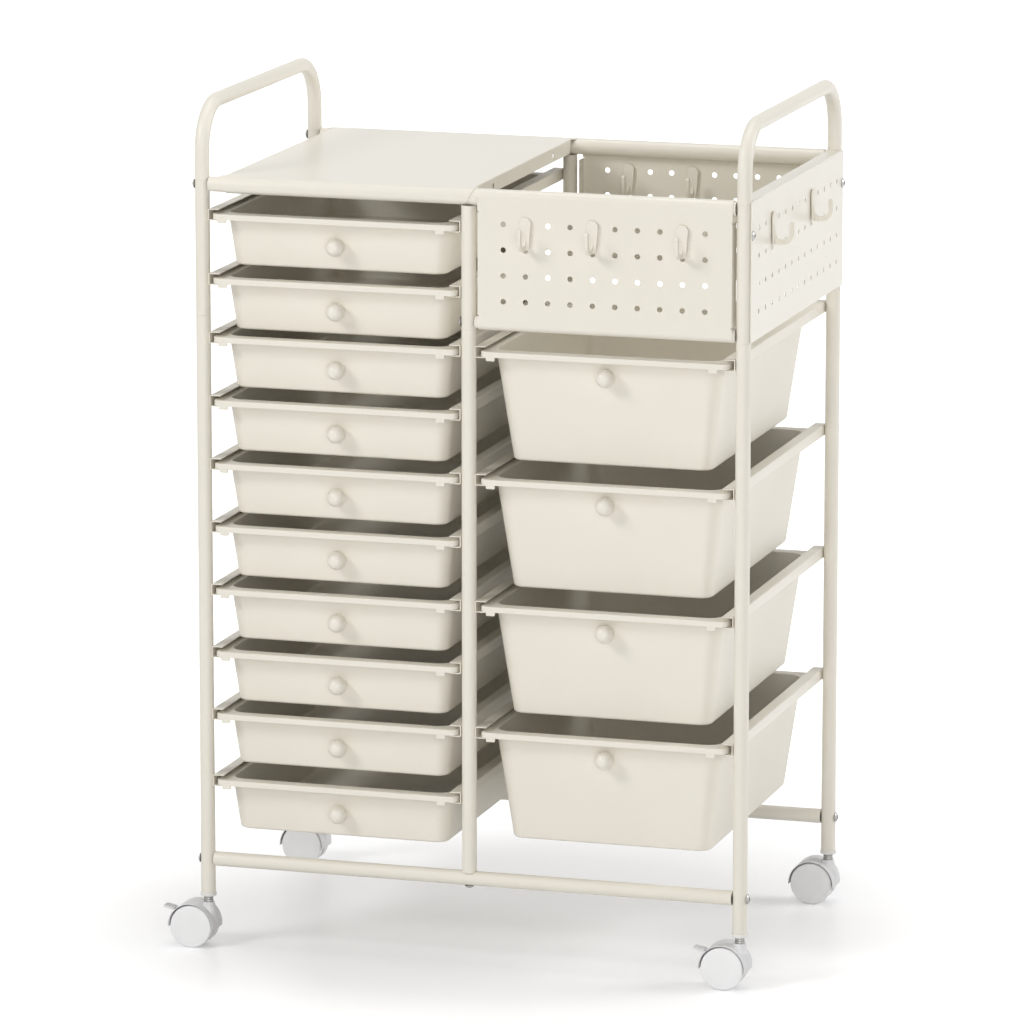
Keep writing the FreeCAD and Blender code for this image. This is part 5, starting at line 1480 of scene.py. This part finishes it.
def wheel_form():
    """One wheel about Z, its outer face at the top, with a fine groove inside its edge."""
    face = [(0.0, WHEEL_OUT), (14.0, WHEEL_OUT - 0.05), (20.2, WHEEL_OUT - 0.15),
            (20.6, WHEEL_OUT - 0.32), (20.9, WHEEL_OUT - 0.32), (21.3, WHEEL_OUT - 0.2)]
    face += arc((WHEEL_RADIUS - 1.9, WHEEL_OUT - 2.1), 1.9, 88, 0, 8)
    back = [(WHEEL_RADIUS, WHEEL_OUT - 2.6), (WHEEL_RADIUS, WHEEL_IN + 1.2),
            (WHEEL_RADIUS - 0.5, WHEEL_IN + 0.3), (WHEEL_RADIUS - 1.2, WHEEL_IN),
            (20.6, WHEEL_IN), (20.4, WHEEL_IN + 0.3), (20.4, 13.8), (19.6, 14.2), (6.6, 14.2),
            (6.0, 13.6), (6.0, WHEEL_IN), (2.5, WHEEL_IN), (2.5, 0.0)]
    return turned(face + back, 80)


def wheel_pair():
    near = moved(wheel_form(), spin(90, "X"))
    far = moved(wheel_form(), spin(-90, "X"))
    return joined(near, far)


wheel_mesh = mesh_of("wheel_pair", wheel_pair(), wheel_plastic)
print("faces of a wheel pair:", len(wheel_mesh.polygons))

# %% Brake lever
LEVER_HALF, LEVER_REACH, PAD_START, PAD_HALF = 1.7, 26.0, 13.0, 5.5
RIBS, RIB_PITCH, RIB_DEPTH, RIB_LEAN = 6, 2.2, 1.1, 0.15
# The pad's inner end slants back below, so it clears the hood when the lever is pressed down.
PAD_SLANT = 1.3
LEVER_SLOPE = 11.0


def lever_form():
    arm = prism_along_y([(-PAD_START - 1.5, -LEVER_HALF), (0, -LEVER_HALF), (0, LEVER_HALF),
                         (-PAD_START - 1.5, LEVER_HALF)], -1.7, 1.7)
    eye = moved(turned([(3.2, -1.7), (3.2, 1.7)], 32), spin(90, "X"))
    pin = moved(turned([(1.25, -WEB_HALF), (1.25, WEB_HALF)], 20), spin(90, "X"))
    outline = [(-PAD_START - PAD_SLANT, -LEVER_HALF), (-PAD_START, LEVER_HALF)]
    first = -LEVER_REACH + LEVER_HALF
    for number in reversed(range(RIBS)):
        start = first + RIB_PITCH * number
        if start + RIB_PITCH / 2 > -PAD_START:
            continue
        outline += [(start + RIB_PITCH / 2, LEVER_HALF),
                    (start + RIB_PITCH / 2 - RIB_LEAN, LEVER_HALF - RIB_DEPTH),
                    (start + RIB_LEAN, LEVER_HALF - RIB_DEPTH), (start, LEVER_HALF)]
    outline += arc((first, 0), LEVER_HALF, 95, 265, 10)
    pad = prism_along_y(outline, -PAD_HALF, PAD_HALF)
    return joined(arm, eye, pin, pad)


lever_mesh = master_mesh("brake_lever", lever_form(), hood_plastic, 0.25)
for end in rows:
    for side in ("left", "right"):
        spot = f"{end}_{side}"
        axle = axis_place(f"wheel_spin_{spot}")
        hood = braked_hood if end == "front" else plain_hood
        place_piece(f"hood_{spot}", hood, f"caster_{spot}",
                    [f"caster_hood_{spot}"], metres(*axle))
        place_piece(f"wheel_pair_{spot}", wheel_mesh, f"wheels_{spot}",
                    [f"caster_wheels_{spot}"], metres(*axle))
        if end == "front":
            pivot = axis_place(f"brake_lever_{spot}_press")
            place_piece(f"brake_pedal_{spot}", lever_mesh, f"brake_{spot}",
                        [f"brake_lever_{spot}"], metres(*pivot) @ spin(LEVER_SLOPE, "Y"))
print("casters made:", 4)

# %% [markdown]
# ## Floor and light
# The cart stands on a white floor in soft studio light. A lamp from the upper left makes
# the knobs' faint shadows, a wide one beside the camera fills the fronts, a third one from the
# right and a little behind throws the side hooks' shadows forwards, and a fourth hangs overhead.
# The world gives little light, so the gaps between the drawers stay deep, but the camera and the
# gloss see it as white. The floor's own glow is weak near the cart, which is painted shade
# round and under the cart, and it fades to plain white away from the cart.

# %% Floor
FLOOR_SIZE = 60.0
FLOOR_COLOUR = (0.80, 0.80, 0.81, 1)
# The floor's glow is kept low near the cart, which is painted shade round and under the cart.
PAINTED_SHADE_GLOW_NEAR, GLOW_FAR = 0.24, 1.0
GLOW_STARTS, GLOW_ENDS = 0.3, 1.1


def make_glow(nodes, links):
    """Light of the floor's own, which grows with the distance from the cart to plain white. Near the cart it is
    weak, which is painted shade round and under the cart.
    """
    place = nodes.new("ShaderNodeTexCoord")
    reach = nodes.new("ShaderNodeVectorMath")
    reach.operation = "LENGTH"
    spread = set_sockets(nodes.new("ShaderNodeMapRange"), From_Min=GLOW_STARTS,
                         From_Max=GLOW_ENDS, To_Min=PAINTED_SHADE_GLOW_NEAR, To_Max=GLOW_FAR)
    glow = nodes.new("ShaderNodeEmission")
    wire(links, (place, "Object", reach, 0), (reach, "Value", spread, "Value"),
         (spread, "Result", glow, "Strength"))
    return glow


def make_floor():
    half = FLOOR_SIZE / 2
    mesh = bpy.data.meshes.new("studio_floor")
    corners = [(-half, -half, 0), (half, -half, 0), (half, half, 0), (-half, half, 0)]
    mesh.from_pydata(corners, [], [(0, 1, 2, 3)])
    floor = add_object("studio_floor", mesh)
    material = bpy.data.materials.new("white_floor")
    material.use_nodes = True
    nodes, links = material.node_tree.nodes, material.node_tree.links
    shader = set_sockets(nodes["Principled BSDF"], Base_Color=FLOOR_COLOUR, Roughness=0.35,
                         Specular_IOR_Level=0.25)
    glow = make_glow(nodes, links)
    rays = nodes.new("ShaderNodeLightPath")
    seen = nodes.new("ShaderNodeMath")
    seen.operation = "MAXIMUM"
    add = nodes.new("ShaderNodeAddShader")
    fade = nodes.new("ShaderNodeMixShader")
    wire(links, (rays, "Is Camera Ray", seen, 0), (rays, "Is Glossy Ray", seen, 1),
         (seen, "Value", fade, "Fac"), (glow, "Emission", fade, 2), (shader, "BSDF", add, 0),
         (fade, "Shader", add, 1), (add, "Shader", nodes["Material Output"], "Surface"))
    mesh.materials.append(material)


make_floor()
print("floor laid, its glow ends", GLOW_ENDS, "m from the cart's middle")

# %% World and lamps
WORLD_STRENGTH, WORLD_COLOUR = 0.17, (1.0, 0.97, 0.93, 1)
LAMP_AIM = Vector((0, 0, 0.5))
LAMPS = {  # place, size in metres, power in watts
    "key_lamp": ((-2.6, -3.0, 3.1), 1.6, 72),
    "front_lamp": ((1.4, -4.6, 1.4), 3.0, 79),
    "side_lamp": ((3.7, 1.4, 2.3), 2.0, 68),
    "top_lamp": ((0.0, 0.2, 4.2), 2.4, 46),
}


def make_world():
    world = bpy.data.worlds.new("white_studio")
    scene.world = world
    world.use_nodes = True
    nodes, links = world.node_tree.nodes, world.node_tree.links
    soft = set_sockets(nodes["Background"], Color=WORLD_COLOUR, Strength=WORLD_STRENGTH)
    white = set_sockets(nodes.new("ShaderNodeBackground"), Color=(1, 1, 1, 1), Strength=1.0)
    rays = nodes.new("ShaderNodeLightPath")
    mirrored = nodes.new("ShaderNodeMath")
    mirrored.operation = "MAXIMUM"
    seen = nodes.new("ShaderNodeMath")
    seen.operation = "MAXIMUM"
    mix = nodes.new("ShaderNodeMixShader")
    wire(links, (rays, "Is Glossy Ray", mirrored, 0), (rays, "Is Transmission Ray", mirrored, 1),
         (rays, "Is Camera Ray", seen, 0), (mirrored, "Value", seen, 1),
         (seen, "Value", mix, "Fac"), (soft, "Background", mix, 1),
         (white, "Background", mix, 2), (mix, "Shader", nodes["World Output"], "Surface"))


def make_lamp(name, place, size, power):
    data = bpy.data.lights.new(name, "AREA")
    data.shape = "DISK"
    data.size = size
    data.energy = power
    lamp = add_object(name, data)
    lamp.location = place
    lamp.rotation_euler = (LAMP_AIM - Vector(place)).to_track_quat("-Z", "Y").to_euler()


make_world()
for name, settings in LAMPS.items():
    make_lamp(name, *settings)
scene.view_settings.view_transform = "Standard"
